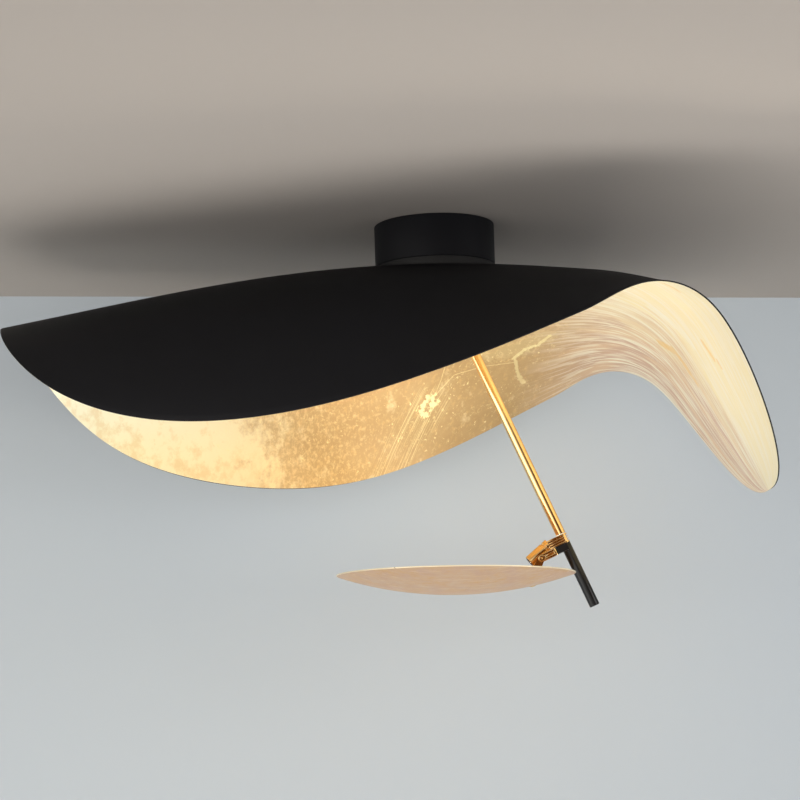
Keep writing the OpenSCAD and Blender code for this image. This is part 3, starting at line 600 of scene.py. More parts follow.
# %% Black anodising, rubber and lead sheath
def black_anodised():
    finish = Finish("black_anodised", rgb(12, 12, 13))
    haze = finish.clouded(0.5, rgb(20, 19, 19), per_metre=70.0, contrast=2.0)
    fine = finish.mask(GRAIN, per_metre=5000.0)
    finish.raise_surface(fine, 0.000006)
    return finish.done(0.24 + haze * 0.08 + fine * 0.06, Specular_IOR_Level=0.4)


def moulded(name, color, second, roughness, per_metre, depth):
    """A moulded rubber or plastic: a fine skin and a slow change of tone."""
    finish = Finish(name, color)
    finish.clouded(0.5, second, per_metre=45.0, contrast=2.0)
    fine = finish.mask(GRAIN, per_metre=per_metre)
    finish.raise_surface(fine, depth)
    return finish.done(roughness + fine * 0.12)


# %% Lens and light chips
def lens_glass():
    finish = Finish("lens_glass", rgb(250, 247, 238))
    fine = finish.mask(GRAIN, per_metre=2600.0)
    finish.raise_surface(fine, 0.00002)
    return finish.done(0.05 + fine * 0.12, Transmission_Weight=0.85, IOR=1.49)


def light_chips():
    """A white board whose chips glow. The board's tree marks them with the attribute "chip"."""
    finish = Finish("light_board", rgb(238, 234, 222))
    fine = finish.mask(GRAIN, per_metre=3000.0)
    chip = finish.marked("chip")
    finish.paint(fine * 0.3, rgb(224, 218, 200))
    finish.paint(chip, rgb(250, 214, 120))
    finish.raise_surface(fine, 0.00001)
    glow = mixed(finish.tree, chip, rgb(0, 0, 0), rgb(255, 240, 205))
    return finish.done(0.45, Emission_Color=glow, Emission_Strength=4.0)


# %% All finishes, by the name of their slot
finishes = {
    "sheet_black": black_paint(),
    "gold_leaf": gold_leaf(),
    "dish_leaf": dish_leaf(),
    "polished_gilt": polished_gilt(),
    "grip_black": black_anodised(),
    "zinc_steel": zinc_plate(),
    "plain_brass": turned_brass(),
    "black_rubber": moulded("black_rubber", rgb(30, 30, 30), rgb(40, 40, 41), 0.62, 1500.0, 2e-5),
    "lead_sheath": moulded("lead_sheath", rgb(28, 28, 29), rgb(38, 38, 40), 0.5, 2500.0, 1e-5),
    "wire_brown": moulded("wire_brown", rgb(92, 52, 34), rgb(78, 44, 30), 0.4, 2500.0, 8e-6),
    "wire_green": moulded("wire_green", rgb(120, 150, 40), rgb(196, 186, 40), 0.4, 2500.0, 8e-6),
    "white_plastic": moulded("white_plastic", rgb(228, 228, 224), rgb(218, 217, 210), 0.42,
                             2200.0, 1.5e-5),
    "slide_plastic": moulded("slide_plastic", rgb(206, 202, 190), rgb(194, 188, 172), 0.45,
                             2600.0, 1e-5),
    "led_ceramic": light_chips(),
    "lens_glass": lens_glass(),
}
print(len(finishes), "finishes")

# %% [markdown]
# ## From a tree or a CAD copy to a finished piece
# A piece ends as one plain mesh at the origin, with no live modifiers, riding on its CAD body. The
# same few helpers do that for every piece: link it, bake it, shade it smooth between its sharp edges
# and hand it to the frame.

# %% Helpers that finish a piece
slot_of = {part["node"]: part["material_slot"] for part in frame["record"]["subparts"]}
body_of = {node: body for body, nodes in frame["record"]["behaviour"]["bodies"].items()
           for node in nodes}


def bake(piece):
    """Makes the result of the modifiers the piece's own mesh."""
    depsgraph = bpy.context.evaluated_depsgraph_get()
    mesh = bpy.data.meshes.new_from_object(piece.evaluated_get(depsgraph),
                                           preserve_all_data_layers=True, depsgraph=depsgraph)
    piece.modifiers.clear()
    piece.data = mesh
    mesh.name = piece.name


def break_edges(piece, width, sharper_than):
    """Rounds each edge that is sharper than an angle in degrees."""
    bevel = piece.modifiers.new("broken edges", "BEVEL")
    bevel.width = width
    bevel.segments = 2
    bevel.limit_method = "ANGLE"
    bevel.angle_limit = math.radians(sharper_than)
    bake(piece)


def hand_over(piece, node, sharp=32.0):
    """Shades the piece, gives it its finish and lets it stand for its CAD node."""
    mesh = piece.data
    mesh.shade_smooth()
    mesh.set_sharp_from_angle(angle=math.radians(sharp))
    if not mesh.materials:
        mesh.materials.append(finishes[slot_of[node]])
    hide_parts(node)
    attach(piece, body_of[node])
    print(f"{piece.name}: {len(mesh.polygons)} faces, replaces {node}")


# %% End a Geometry Nodes tree, and run a piece through it
TOUCHING = 1e-6


def finish_tree(tree, given, result, geometry, touching=TOUCHING):
    """Ends a tree: instances made real, seams merged, and the material set."""
    real = add(tree, "GeometryNodeRealizeInstances", {"Geometry": geometry})
    closed = add(tree, "GeometryNodeMergeByDistance", {"Geometry": real, "Distance": touching})
    done = add(tree, "GeometryNodeSetMaterial", {"Geometry": closed,
               "Material": given["Material"]})
    plug(tree, done, result)
    print(f"tree \"{tree.name}\": {len(tree.nodes)} nodes")
    return tree


def run_tree(piece, tree, **values):
    """A modifier knows a tree's inputs by their identifiers, so they are looked up by name."""
    modifier = piece.modifiers.new(tree.name, "NODES")
    modifier.node_group = tree
    for item in tree.interface.items_tree:
        for key, value in values.items():
            if item.in_out == "INPUT" and item.name == titled(key):
                modifier[item.identifier] = value
    bake(piece)


def grow(name, tree, mesh=None, **values):
    """An object whose mesh a tree makes, from nothing or from a mesh of its own."""
    piece = link(name, mesh or bpy.data.meshes.new(name))
    run_tree(piece, tree, **values)
    return piece


# %% Copy a CAD node and round its edges
SLIVER = 4e-6
FLAT = math.radians(0.5)


def merge_points(mesh, distance, flat=0.0):
    """Makes points that lie closer than a distance one, and faces that lie flat together."""
    work = bmesh.new()
    work.from_mesh(mesh)
    bmesh.ops.remove_doubles(work, verts=work.verts, dist=distance)
    if flat:
        bmesh.ops.dissolve_limit(work, angle_limit=flat, verts=work.verts, edges=work.edges)
    work.to_mesh(mesh)
    work.free()


def dressed(name, node, edge):
    """The exact shape of a CAD node with its edges broken, as a machined piece has."""
    mesh = frame["nodes"][node].data.copy()
    merge_points(mesh, TOUCHING, FLAT)
    mesh.materials.clear()
    piece = link(name, mesh)
    break_edges(piece, edge, sharper_than=40)
    merge_points(piece.data, SLIVER)
    hand_over(piece, node)


# %% [markdown]
# ## The sheet
# The shade is one flat blank, bent along its spine and rolled across it, and that is how the tree
# makes it. The spine climbs at the tail, levels over the crown and plunges into the lobe: the climb
# at each place is a formula, and an Accumulate Field adds up its small steps into a curve. Each
# cross-section is an arc whose bend fades from the tail to the lobe. The black sheet and the leaf
# below it follow the same law, so it is a group of its own.

# %% The sizes of the sheet
SHEET = {
    "Tail Climb": math.radians(9.5),
    "Crown Droop": math.radians(29),
    "Droop Start": -380 * MM,
    "Droop End": 500 * MM,
    "Plunge": math.radians(46.4),
    "Plunge Start": 150 * MM,
    "Plunge End": 324 * MM,
    "Roll End": 293 * MM,
    "Roll Fade": 49 * MM,
    "Near Roll 1": math.radians(86.2),
    "Near Roll 2": math.radians(-38.1),
    "Near Roll 3": math.radians(9.3),
    "Far Roll 1": math.radians(68.5),
    "Far Roll 2": math.radians(-1.2),
    "Far Roll 3": 0.0,
    "Half Width": 329.9 * MM,
    "Crown Height": -48 * MM,
    "Turn": math.radians(-1.4),
}
BLANK_HALF_LENGTH = 473.9 * MM
BLANK_SHIFT = 3 * MM
SPINE_REACH = 484 * MM
SPINE_STEP = 2 * MM
LEAST_TURN = math.radians(0.02)

# %% The spine, and the roll across it
def climb(law, place):
    """How steeply the spine climbs at a place along it."""
    return (law["Tail Climb"]
            - law["Crown Droop"] * place.between(law["Droop Start"], law["Droop End"])
            - law["Plunge"] * place.between(law["Plunge Start"], law["Plunge End"]))


def spine_curve(tree, law):
    """Small steps along the climb, added up into a curve."""
    line = add(tree, "GeometryNodeMeshLine", {"Count": round(2 * SPINE_REACH / SPINE_STEP) + 1},
               mode="OFFSET")
    index = Formula(add(tree, "GeometryNodeInputIndex"))
    slope = climb(law, index * SPINE_STEP - SPINE_REACH - SPINE_STEP / 2)
    step = joined(tree, x=slope.cosine() * SPINE_STEP, z=slope.sine() * SPINE_STEP)
    walk = add(tree, "GeometryNodeAccumulateField", {"Value": step}, data_type="FLOAT_VECTOR")
    spine = add(tree, "GeometryNodeSetPosition", {"Geometry": line,
                "Position": walk.outputs["Leading"]})
    return add(tree, "GeometryNodeMeshToCurve", {"Mesh": spine})


def on_spine(tree, curve, place):
    """The point of the curve at a place, which is counted from the middle of the blank."""
    node = add(tree, "GeometryNodeSampleCurve", {"Curves": curve, "Length": place + SPINE_REACH},
               mode="LENGTH")
    return node.outputs["Position"]


def roll(law):
    """The whole bend of a cross-section, which has its own strength on each side."""
    to_go = law["Roll End"] - law["Along"]
    left = (to_go + (to_go ** 2 + law["Roll Fade"] ** 2) ** 0.5) / (2 * law["Roll End"])

    def cubic(side):
        first, second, third = (law[f"{side} Roll {i}"] for i in (1, 2, 3))
        return left * (first + left * (second + left * third))

    near = law["Across"].below(0)
    return (cubic("Near") * near + cubic("Far") * (1 - near)).at_least(LEAST_TURN)


# %% Where a point of the blank ends up
def sheet_point_group():
    tree, law, result = new_tree("sheet point", "GeometryNodeTree", VECTOR, along=0.0,
                                 across=0.0, depth=0.0, **SHEET)
    curve = spine_curve(tree, law)
    foot = add(tree, "ShaderNodeVectorMath", {0: on_spine(tree, curve, law["Along"]),
               1: on_spine(tree, curve, 0.0)}, operation="SUBTRACT")
    foot_x, _, foot_z = parts_of(tree, foot)

    # the cross-section: an arc that hangs from the spine
    bend = roll(law) / law["Half Width"]
    angle = bend * law["Across"]
    half_sine = (angle * 0.5).sine()
    side = angle.sine() / bend - law["Depth"] * angle.sine()
    rise = 0 - 2 * half_sine * half_sine / bend - law["Depth"] * angle.cosine()
    slope = climb(law, law["Along"])
    place = joined(tree, foot_x - rise * slope.sine(), side,
                   foot_z + rise * slope.cosine() + law["Crown Height"])
    turned = add(tree, "ShaderNodeVectorRotate", {"Vector": place, "Angle": law["Turn"]},
                 rotation_type="Z_AXIS")
    plug(tree, turned, result)
    return tree


SHEET_POINT = sheet_point_group()
print("sheet point:", len(SHEET_POINT.nodes), "nodes")

# %% [markdown]
# The blank itself is a grid: stations along the spine, packed more closely towards the tips, and
# ribs across. A copy of it faces down and is extruded by the wall, the grid closes it above, and
# merging the two gives one closed shell. Each point keeps its place on the flat blank in an
# attribute, which the leaf's material reads.

# %% A layer of the sheet
def unit_grid(tree, columns, rows):
    """A grid one metre wide, and the places of its points, from -0.5 to 0.5."""
    grid = add(tree, "GeometryNodeMeshGrid", {"Size X": 1.0, "Size Y": 1.0,
               "Vertices X": columns + 1, "Vertices Y": rows + 1})
    x, y, _ = parts_of(tree, add(tree, "GeometryNodeInputPosition"))
    return grid, x, y


def all_of(tree, *geometries):
    """Several geometries as one."""
    both = add(tree, "GeometryNodeJoinGeometry")
    for geometry in geometries:
        plug(tree, geometry, both.inputs[0])
    return both


def bent(tree, geometry, blank, depth):
    """Moves the points of a blank to where the law of the sheet puts them."""
    along, across, _ = blank
    point = add(tree, "GeometryNodeGroup", node_tree=SHEET_POINT)
    for value, name in ((along, "Along"), (across, "Across"), (depth, "Depth")):
        plug(tree, value, point.inputs[name])
    return add(tree, "GeometryNodeSetPosition", {"Geometry": geometry,
               "Position": point})


def sheet_layer_tree():
    tree, law, result = mesh_tree("rolled sheet layer", stations=60, ribs=18, top_depth=0.0,
                                  wall=1.5 * MM, full_along=2.2, full_across=2.4,
                                  tip_angle=math.radians(1.2))
    grid, x, y = unit_grid(tree, law["Stations"], law["Ribs"])
    tip = law["Tip Angle"]
    sweep = tip + (math.pi - 2 * tip) * (x + 0.5)
    along = BLANK_SHIFT - BLANK_HALF_LENGTH * sweep.cosine()
    reach = ((along - BLANK_SHIFT) / BLANK_HALF_LENGTH).size().at_most(1)
    fullness = (1 - reach ** law["Full Along"]) ** (1 / law["Full Across"])
    share = 2 * y
    blank = joined(tree, along, SHEET["Half Width"] * fullness * share, share)
    kept = add(tree, "GeometryNodeStoreNamedAttribute", {"Geometry": grid, "Name": "sheet",
               "Value": blank}, data_type="FLOAT_VECTOR", domain="POINT")
    named = add(tree, "GeometryNodeInputNamedAttribute", {"Name": "sheet"},
                data_type="FLOAT_VECTOR")
    blank = parts_of(tree, named)

    upper = bent(tree, kept, blank, law["Top Depth"])
    down = add(tree, "GeometryNodeFlipFaces", {"Mesh": kept})
    thick = add(tree, "GeometryNodeExtrudeMesh", {"Mesh": down, "Offset Scale": 0.0,
                "Individual": False}, mode="FACES")
    lower = bent(tree, thick.outputs["Mesh"], blank,
                 law["Top Depth"] + law["Wall"] * Formula(thick.outputs["Top"]))
    return finish_tree(tree, law, result, all_of(tree, upper, lower), 2 * TOUCHING)


SHEET_LAYER = sheet_layer_tree()

# %% The black sheet and its leaf
SHEET_T = 1.5 * MM
LEAF_GAP = 0.05 * MM
LEAF_T = 0.3 * MM
RIM_EDGE = 0.45 * MM
STATIONS = 220
RIBS = 72

shade_sheet = grow("shade_sheet", SHEET_LAYER, stations=STATIONS, ribs=RIBS, top_depth=0.0,
                   wall=SHEET_T, material=finishes["sheet_black"])
break_edges(shade_sheet, RIM_EDGE, sharper_than=50)
hand_over(shade_sheet, "shade")

shade_leaf = grow("shade_leaf", SHEET_LAYER, stations=STATIONS, ribs=RIBS,
                  top_depth=SHEET_T + LEAF_GAP, wall=LEAF_T, material=finishes["gold_leaf"])
hand_over(shade_leaf, "shade_gilding", sharp=50.0)

# %% [markdown]
# ## Spun pieces
# The canopy and the dish are spun on a lathe, so each is one outline turned about an axis. The
# canopy is a deep cup with a small radius at its lower edge. The dish is a cap of a ball with a fine
# rounded lip, and it stands where its stud holds it: the joints of the frame give the axes.

# %% Turn an outline about its axis
def spun(name, outline, place, steps):
    """A closed mesh: the outline's points are (radius, height), from axis to axis or a loop."""
    work = bmesh.new()
    rings = []
    for radius, height in outline:
        turns = [math.tau * i / steps for i in range(steps if radius else 1)]
        ring = [Vector((radius * math.cos(turn), radius * math.sin(turn), height))
                for turn in turns]
        rings.append([work.verts.new(place @ point) for point in ring])
    pairs = list(zip(rings, rings[1:]))
    if outline[0][0] > 0:
        pairs.append((rings[-1], rings[0]))
    for low, high in pairs:
        for i in range(steps):
            j = (i + 1) % steps
            corners = [low[i % len(low)], low[j % len(low)], high[j % len(high)],
                       high[i % len(high)]]
            work.faces.new(list(dict.fromkeys(corners)))
    bmesh.ops.recalc_face_normals(work, faces=work.faces)
    mesh = bpy.data.meshes.new(name)
    work.to_mesh(mesh)
    work.free()
    return link(name, mesh)


def arc(middle, radius, start, end, count):
    """Points of an arc in an outline, angles in degrees."""
    return [(middle[0] + radius * math.cos(math.radians(start + (end - start) * i / count)),
             middle[1] + radius * math.sin(math.radians(start + (end - start) * i / count)))
            for i in range(count + 1)]


# %% The canopy
CANOPY_R = 65 * MM
CANOPY_H = 45.5 * MM
CANOPY_WALL = 1.5 * MM
CANOPY_FLOOR = 2 * MM
CANOPY_HOLE_R = 5.3 * MM
CANOPY_STEPS = 192
EDGE_R = 1 * MM
RIM_R = 0.3 * MM

canopy_outline = [
    (CANOPY_HOLE_R, -CANOPY_H),
    *arc((CANOPY_R - EDGE_R, -CANOPY_H + EDGE_R), EDGE_R, -90, 0, 5),
    *arc((CANOPY_R - RIM_R, -RIM_R), RIM_R, 0, 90, 2),
    *arc((CANOPY_R - CANOPY_WALL + RIM_R, -RIM_R), RIM_R, 90, 180, 2),
    (CANOPY_R - CANOPY_WALL, -CANOPY_H + CANOPY_FLOOR),
    (CANOPY_HOLE_R, -CANOPY_H + CANOPY_FLOOR),
]
canopy_cup = spun("canopy_cup", canopy_outline, Matrix.Identity(4), CANOPY_STEPS)
hand_over(canopy_cup, "canopy")

# %% Where the dish stands
joint = {each["name"]: each for each in frame["joints"]}
swing_axis = Vector(joint["dish_swing"]["axis"]).normalized()
tilt_axis = Vector(joint["dish_tilt"]["axis"]).normalized()
pivot = Vector(joint["dish_tilt"]["pos_m"])
forward = tilt_axis.cross(swing_axis)
level = Matrix.Translation(pivot) @ Matrix((forward, tilt_axis, swing_axis)).transposed().to_4x4()

DISH_R = 125 * MM
DISH_DEPTH = 20.3 * MM
DISH_T = 1.2 * MM
STUD_OFFSET = 88.5 * MM
STUD_REACH = 9.1 * MM
RIM_DROP = 16.5 * MM
DISH_SWING = math.radians(20)
ball_r = (DISH_R ** 2 + DISH_DEPTH ** 2) / (2 * DISH_DEPTH)
ball_middle = Vector((-STUD_REACH - STUD_OFFSET * math.cos(DISH_SWING),
                      -STUD_OFFSET * math.sin(DISH_SWING), -RIM_DROP + ball_r - DISH_DEPTH))
print("radius of the dish's ball in mm:", round(ball_r / MM, 1))

# %% The dish
LIP_R = 0.55 * MM
LIP_STEPS = 8
CAP_STEPS = 40
DISH_STEPS = 256
lip_out = DISH_R - LIP_R
lip_middle = (lip_out, -math.sqrt(ball_r ** 2 - lip_out ** 2) - DISH_T / 2)


def cap(radius):
    """Points from the middle of a cap of that ball radius out to the lip."""
    last = math.degrees(math.asin((lip_out - LIP_R) / radius))
    points = arc((0, 0), radius, -90, -90 + last, CAP_STEPS)
    points[0] = (0.0, points[0][1])
    return points


inner = cap(ball_r)
outer = cap(ball_r + DISH_T)
lip = arc(lip_middle, LIP_R, 125, -95, LIP_STEPS)
dish_shell = spun("dish_shell", [*inner, *lip, *reversed(outer)],
                  level @ Matrix.Translation(ball_middle), DISH_STEPS)
first = 1 + (len(inner) - 1) * DISH_STEPS
last = first + len(lip) * DISH_STEPS
marks = dish_shell.data.attributes.new("lip", "FLOAT", "POINT")
marks.data.foreach_set("value", [1.0 if first <= i < last else 0.0
                                 for i in range(len(dish_shell.data.vertices))])
hand_over(dish_shell, "dish", sharp=50.0)

# %% [markdown]
# ## The machined and stamped pieces
# The rest is cut from bar, bent from strip or moulded, and the CAD nodes have those shapes exactly.
# Each gets its edges broken, most by a tenth to a third of a millimetre. A real edge always is, and
# it is what catches the light.

# %% Rod, hub, grip and lamp head
# Each piece has the name of its CAD node and the width of its broken edges in millimetres.
HEAD_EDGES = {
    "rod_tube": ("rod", 0.25),
    "ball_hub": ("hub", 0.35),
    "hand_grip": ("grip", 0.35),
    "cooling_block": ("fin_block", 0.2),
    "barrel": ("lamp_barrel", 0.2),
    "bezel": ("lens_ring", 0.12),
    "front_lens": ("lens", 0.15),
    "slotted_fork": ("fork", 0.2),
    "dish_stirrup": ("stirrup", 0.2),
    "stud_boss": ("dish_boss", 0.2),
    "boss_screw": ("dish_screw", 0.05),
    "spring_washer": ("wave_washer", 0.1),
    "stud_hex_nut": ("stud_nut", 0.25),
    "slide_washer": ("friction_washer", 0.1),
    "rod_set_screw": ("hub_screw", 0.1),
    "swivel_set_screw": ("swivel_screw", 0.08),
    "fork_cap_screw": ("fork_screw", 0.12),
    "shoulder_screws": ("pivot_screws", 0.15),
}
for name, (node, edge) in HEAD_EDGES.items():
    dressed(name, node, edge * MM)

# %% Canopy, its inside and what hangs the sheet
CANOPY_EDGES = {
    "ceiling_strap": ("ceiling_bracket", 0.3),
    "earth_cap_screw": ("earth_screw", 0.15),
    "driver_case": ("led_driver", 0.8),
    "clamp_terminals": ("terminal_block", 0.35),
    "wide_washer": ("load_washer", 0.25),
    "lock_nut": ("nipple_nut", 0.25),
    "moulded_pad": ("saddle_pad", 0.2),
    "sealing_ring": ("hub_ring", 0.3),
}
for name, (node, edge) in CANOPY_EDGES.items():
    dressed(name, node, edge * MM)

# %% [markdown]
# ## Threads
# A thread could be cut with a boolean, but it is a plain law: going round once, the surface climbs by
# one pitch. So the tree bends a grid into a bolt. Its rows run from the foot up the thread, over the
# end and down into the bore, which is round in a tube and six-sided where a key goes in.

# %% The tree of a threaded piece
def thread_tree():
    tree, law, result = mesh_tree("threaded piece", length=10 * MM, radius=2 * MM,
                                  pitch=0.7 * MM, thread_depth=0.35 * MM, bore=1 * MM,
                                  bore_depth=2 * MM, six_sided=1.0, through=0.0, rows=80,
                                  around=48)
    grid, x, y = unit_grid(tree, law["Around"], law["Rows"])
    turn = (x + 0.5) * math.tau
    row = ((y + 0.5) * law["Rows"]).rounded()
    row_left = law["Rows"] - row
    climbed = ((row - 1) / (law["Rows"] - 4)).clipped()
    on_thread = (1 - row.below(1.5)) * (1 - row_left.below(3.5))
    in_bore = row_left.below(2.5)
    in_foot = row.below(0.5).at_least(row_left.below(0.5))
    wave = ((climbed * law["Length"] / law["Pitch"] - turn / math.tau) * 2).to_and_fro(1.0)
    thread = law["Radius"] - law["Thread Depth"] * (1 - on_thread + on_thread * wave)
    corner = (turn.left_over(math.tau / 6) - math.tau / 12).cosine()
    bore = law["Bore"] / (1 + law["Six Sided"] * (corner - 1))
    wall = thread * (1 - in_bore) + bore * in_bore
    radius = wall * (1 - in_foot) + bore * law["Through"] * in_foot
    height = law["Length"] * climbed - law["Bore Depth"] * row_left.below(1.5)
    place = joined(tree, radius * turn.cosine(), radius * turn.sine(), height)
    bolt = add(tree, "GeometryNodeSetPosition", {"Geometry": grid, "Position": place})
    return finish_tree(tree, law, result, bolt)


THREAD = thread_tree()

# %% Copies in a ring
def in_a_ring(tree, geometry, count):
    """Repeats a geometry about the upright axis, with even steps."""
    points = add(tree, "GeometryNodeMeshLine", {"Count": count, "Offset": (0.0, 0.0, 0.0)},
                 mode="OFFSET")
    index = Formula(add(tree, "GeometryNodeInputIndex"))
    ring = add(tree, "GeometryNodeInstanceOnPoints", {"Points": points,
               "Instance": geometry, "Rotation": joined(tree, z=index * math.tau / count)})
    return ring


def ring_tree():
    tree, given, result = mesh_tree("copies in a ring", geometry=GEOMETRY, count=2)
    return finish_tree(tree, given, result, in_a_ring(tree, given["Geometry"], given["Count"]))


RING = ring_tree()

# %% The hanging tube and the canopy's two grub screws
TUBE_LENGTH = 25.139 * MM
TUBE_FOOT_Z = -60.6387 * MM
GRUB_PLACE = (58.3 * MM, 0, -10 * MM)
ROWS_IN_A_TURN = 8
END_ROWS = 3


def threaded(name, length, pitch, **values):
    rows = round(ROWS_IN_A_TURN * length / pitch) + END_ROWS
    return grow(name, THREAD, length=length, pitch=pitch, rows=rows, **values)


threaded_tube = threaded("threaded_tube", TUBE_LENGTH, 1 * MM, radius=5 * MM,
                         thread_depth=0.5 * MM, bore=3.7 * MM, bore_depth=TUBE_LENGTH,
                         six_sided=0.0, through=1.0, around=64, material=finishes["plain_brass"])
threaded_tube.data.transform(Matrix.Translation((0, 0, TUBE_FOOT_Z)))
hand_over(threaded_tube, "nipple", sharp=50.0)

grub = threaded("canopy_set_screws", 6.3 * MM, 0.7 * MM, radius=2 * MM, bore_depth=2 * MM,
                material=finishes["zinc_steel"])
grub.data.transform(Matrix.Translation(GRUB_PLACE) @ Matrix.Rotation(math.radians(90), 4, "Y"))
run_tree(grub, RING, count=2, material=finishes["zinc_steel"])
hand_over(grub, "canopy_screws", sharp=50.0)

# %% [markdown]
# ## The light board
# Four light chips sit in a square on a white ceramic disc. The tree makes one chip, sets it on four
# points turned about the middle, and marks the chips with an attribute, so that one material can be
# ceramic here and glow there. The board is made upright at the origin and then moved into the barrel.

# %% The board and its chips
def board_tree():
    tree, law, result = mesh_tree("board with chips", diameter=11 * MM, thickness=1.6 * MM,
                                  chip=1.7 * MM, apart=1 * MM, chip_height=0.4 * MM, count=4)
    disc = add(tree, "GeometryNodeMeshCylinder", {"Vertices": 48, "Radius": law["Diameter"] / 2,
               "Depth": law["Thickness"]})
    board = add(tree, "GeometryNodeTransform", {"Geometry": disc.outputs["Mesh"],
                "Translation": joined(tree, z=law["Thickness"] / 2)})
    chip = add(tree, "GeometryNodeMeshCube", {"Size": joined(tree, law["Chip"], law["Chip"],
               law["Chip Height"] * 2)})
    off = (law["Apart"] + law["Chip"]) / 2
    placed = add(tree, "GeometryNodeTransform", {"Geometry": chip.outputs["Mesh"],
                 "Translation": joined(tree, off, off, law["Thickness"])})
    marked = add(tree, "GeometryNodeStoreNamedAttribute", {"Geometry": placed,
                 "Name": "chip", "Value": 1.0}, data_type="FLOAT", domain="POINT")
    chips = in_a_ring(tree, marked, law["Count"])
    return finish_tree(tree, law, result, all_of(tree, chips, board))


# %% The board in the barrel
# The head's own frame starts at the root of the rod, and its upright axis runs down the rod.
ROD_ROOT = (0, 0, -50 * MM)
ROD_LEAN = math.radians(23.2)
HEAD_TURN = math.radians(-3.1)
BARREL_PLACE = (18 * MM, 0, 320 * MM)
BARREL_TILT = math.radians(73)
BOARD_PLACE = (0, 0, 20.3 * MM)
rod_frame = Matrix.Translation(ROD_ROOT) @ Matrix(
    ((-math.cos(ROD_LEAN), 0, math.sin(ROD_LEAN)), (0, 1, 0),
     (-math.sin(ROD_LEAN), 0, -math.cos(ROD_LEAN)))).to_4x4()
head_frame = rod_frame @ Matrix.Rotation(HEAD_TURN, 4, "Z")
barrel_frame = (head_frame @ Matrix.Translation(BARREL_PLACE)
                @ Matrix.Rotation(BARREL_TILT, 4, "Y"))

light_board = grow("light_board", board_tree(), material=finishes["led_ceramic"])
light_board.data.transform(barrel_frame @ Matrix.Translation(BOARD_PLACE))
hand_over(light_board, "led_board")

# %% [markdown]
# ## Leads and wires
# Each lead is a round cord swept along its route. The route is a few points, the same ones the CAD
# model uses. The tree runs a smooth curve through them, spaces its stations evenly and sweeps a
# circle along it, and closes both ends.

# %% The tree of a swept lead
def lead_tree():
    tree, given, result = mesh_tree("swept lead", geometry=GEOMETRY, diameter=3 * MM,
                                    step=1.2 * MM, sides=16)
    line = add(tree, "GeometryNodeMeshToCurve", {"Mesh": given["Geometry"]})
    smooth = add(tree, "GeometryNodeCurveSplineType", {"Curve": line},
                 spline_type="CATMULL_ROM")
    even = add(tree, "GeometryNodeResampleCurve", {"Curve": smooth,
               "Length": given["Step"]}, mode="LENGTH")
    section = add(tree, "GeometryNodeCurvePrimitiveCircle", {"Resolution": given["Sides"],
                  "Radius": given["Diameter"] / 2}, mode="RADIUS")
    swept = add(tree, "GeometryNodeCurveToMesh", {"Curve": even,
                "Profile Curve": section, "Fill Caps": True})
    return finish_tree(tree, given, result, swept)


LEAD = lead_tree()


def swept_lead(name, node, diameter, *routes, place=Matrix.Identity(4)):
    """A piece of one or more cords. A route is a list of points in millimetres."""
    points, edges = [], []
    for route in routes:
        first = len(points)
        points += [place @ (Vector(point) * MM) for point in route]
        edges += [(i, i + 1) for i in range(first, len(points) - 1)]
    line = bpy.data.meshes.new(name)
    line.from_pydata(points, edges, [])
    piece = grow(name, LEAD, line, diameter=diameter * MM, material=finishes[slot_of[node]])
    hand_over(piece, node, sharp=60.0)


# %% The four leads
# Down the rod, the stations are counted in millimetres from the rod's root.
down_the_rod = [tuple(v / MM for v in rod_frame @ Vector((0, 0, t * MM)))
                for t in (*range(42, 305, 12), 314, 316.4)]
swept_lead("supply_cable", "supply_lead", 3.0, [
    (0, 21.5, -29.5), (0, 17.5, -29.5), (0, 10, -29.5), (0, 6.17, -30.26), (0, 2.93, -32.43),
    (0, 0.76, -35.67), (0, 0, -39.5), (0, 0, -50.07), (0, 0, -59.14), (0.77, 0, -61.92),
    (14.98, 0, -85.48), *down_the_rod])
swept_lead("driver_wires", "driver_leads", 2.2, *(
    [(side * 10, -21, -37.5), (side * 10, -19, -37.5), (side * 12, -14, -37.5),
     (side * 18, -9, -37.5), (side * 21, -3, -37.5), (side * 22, 10.5, -37.5),
     (side * 22, 18.5, -37.5)] for side in (-1, 1)))
swept_lead("earth_wire", "earth_lead", 2.2, [
    (0, -21, -37.5), (0, -19, -37.5), (4, -18, -32.5), (12, -15, -22), (19, -13, -8),
    (20, -8, -3.6), (20, -4, -3.4)])
swept_lead("head_cable", "lamp_lead", 3.0, [
    (0, 0, 317), (0, 0, 318.2), (0.5, 0, 319.5), (1.8, 0, 320), (16.5, 0, 320),
    (19.43, 0, 320.44), (37.37, 0, 325.92)], place=head_frame)

# %% [markdown]
# ## The room and the light
# The light hangs from a pale ceiling in front of a pale wall. The wall, the ceiling and the floor
# show only from inside the room: seen from behind they let the view through, so the object can be
# looked at from every side. The ceiling ends about a metre in front of the light. Large soft lamps
# stand low in front and below, because the leaf faces down, and a dark field in the surroundings
# gives the polished rod something to reflect.

# %% Plain surfaces that show from one side
def room_surface(name, color, corners):
    finish = Finish(name, color)
    material = finish.done(0.9, Specular_IOR_Level=0.1)
    clear = add(finish.tree, "ShaderNodeBsdfTransparent")
    behind = add(finish.tree, "ShaderNodeNewGeometry")
    mix = add(finish.tree, "ShaderNodeMixShader", {0: behind.outputs["Backfacing"],
              1: finish.shader, 2: clear})
    plug(finish.tree, mix, finish.surface)
    mesh = bpy.data.meshes.new(name)
    mesh.from_pydata(corners, [], [range(len(corners))])
    mesh.materials.append(material)
    link(name, mesh)
    print(name, "from", corners[0], "to", corners[2])


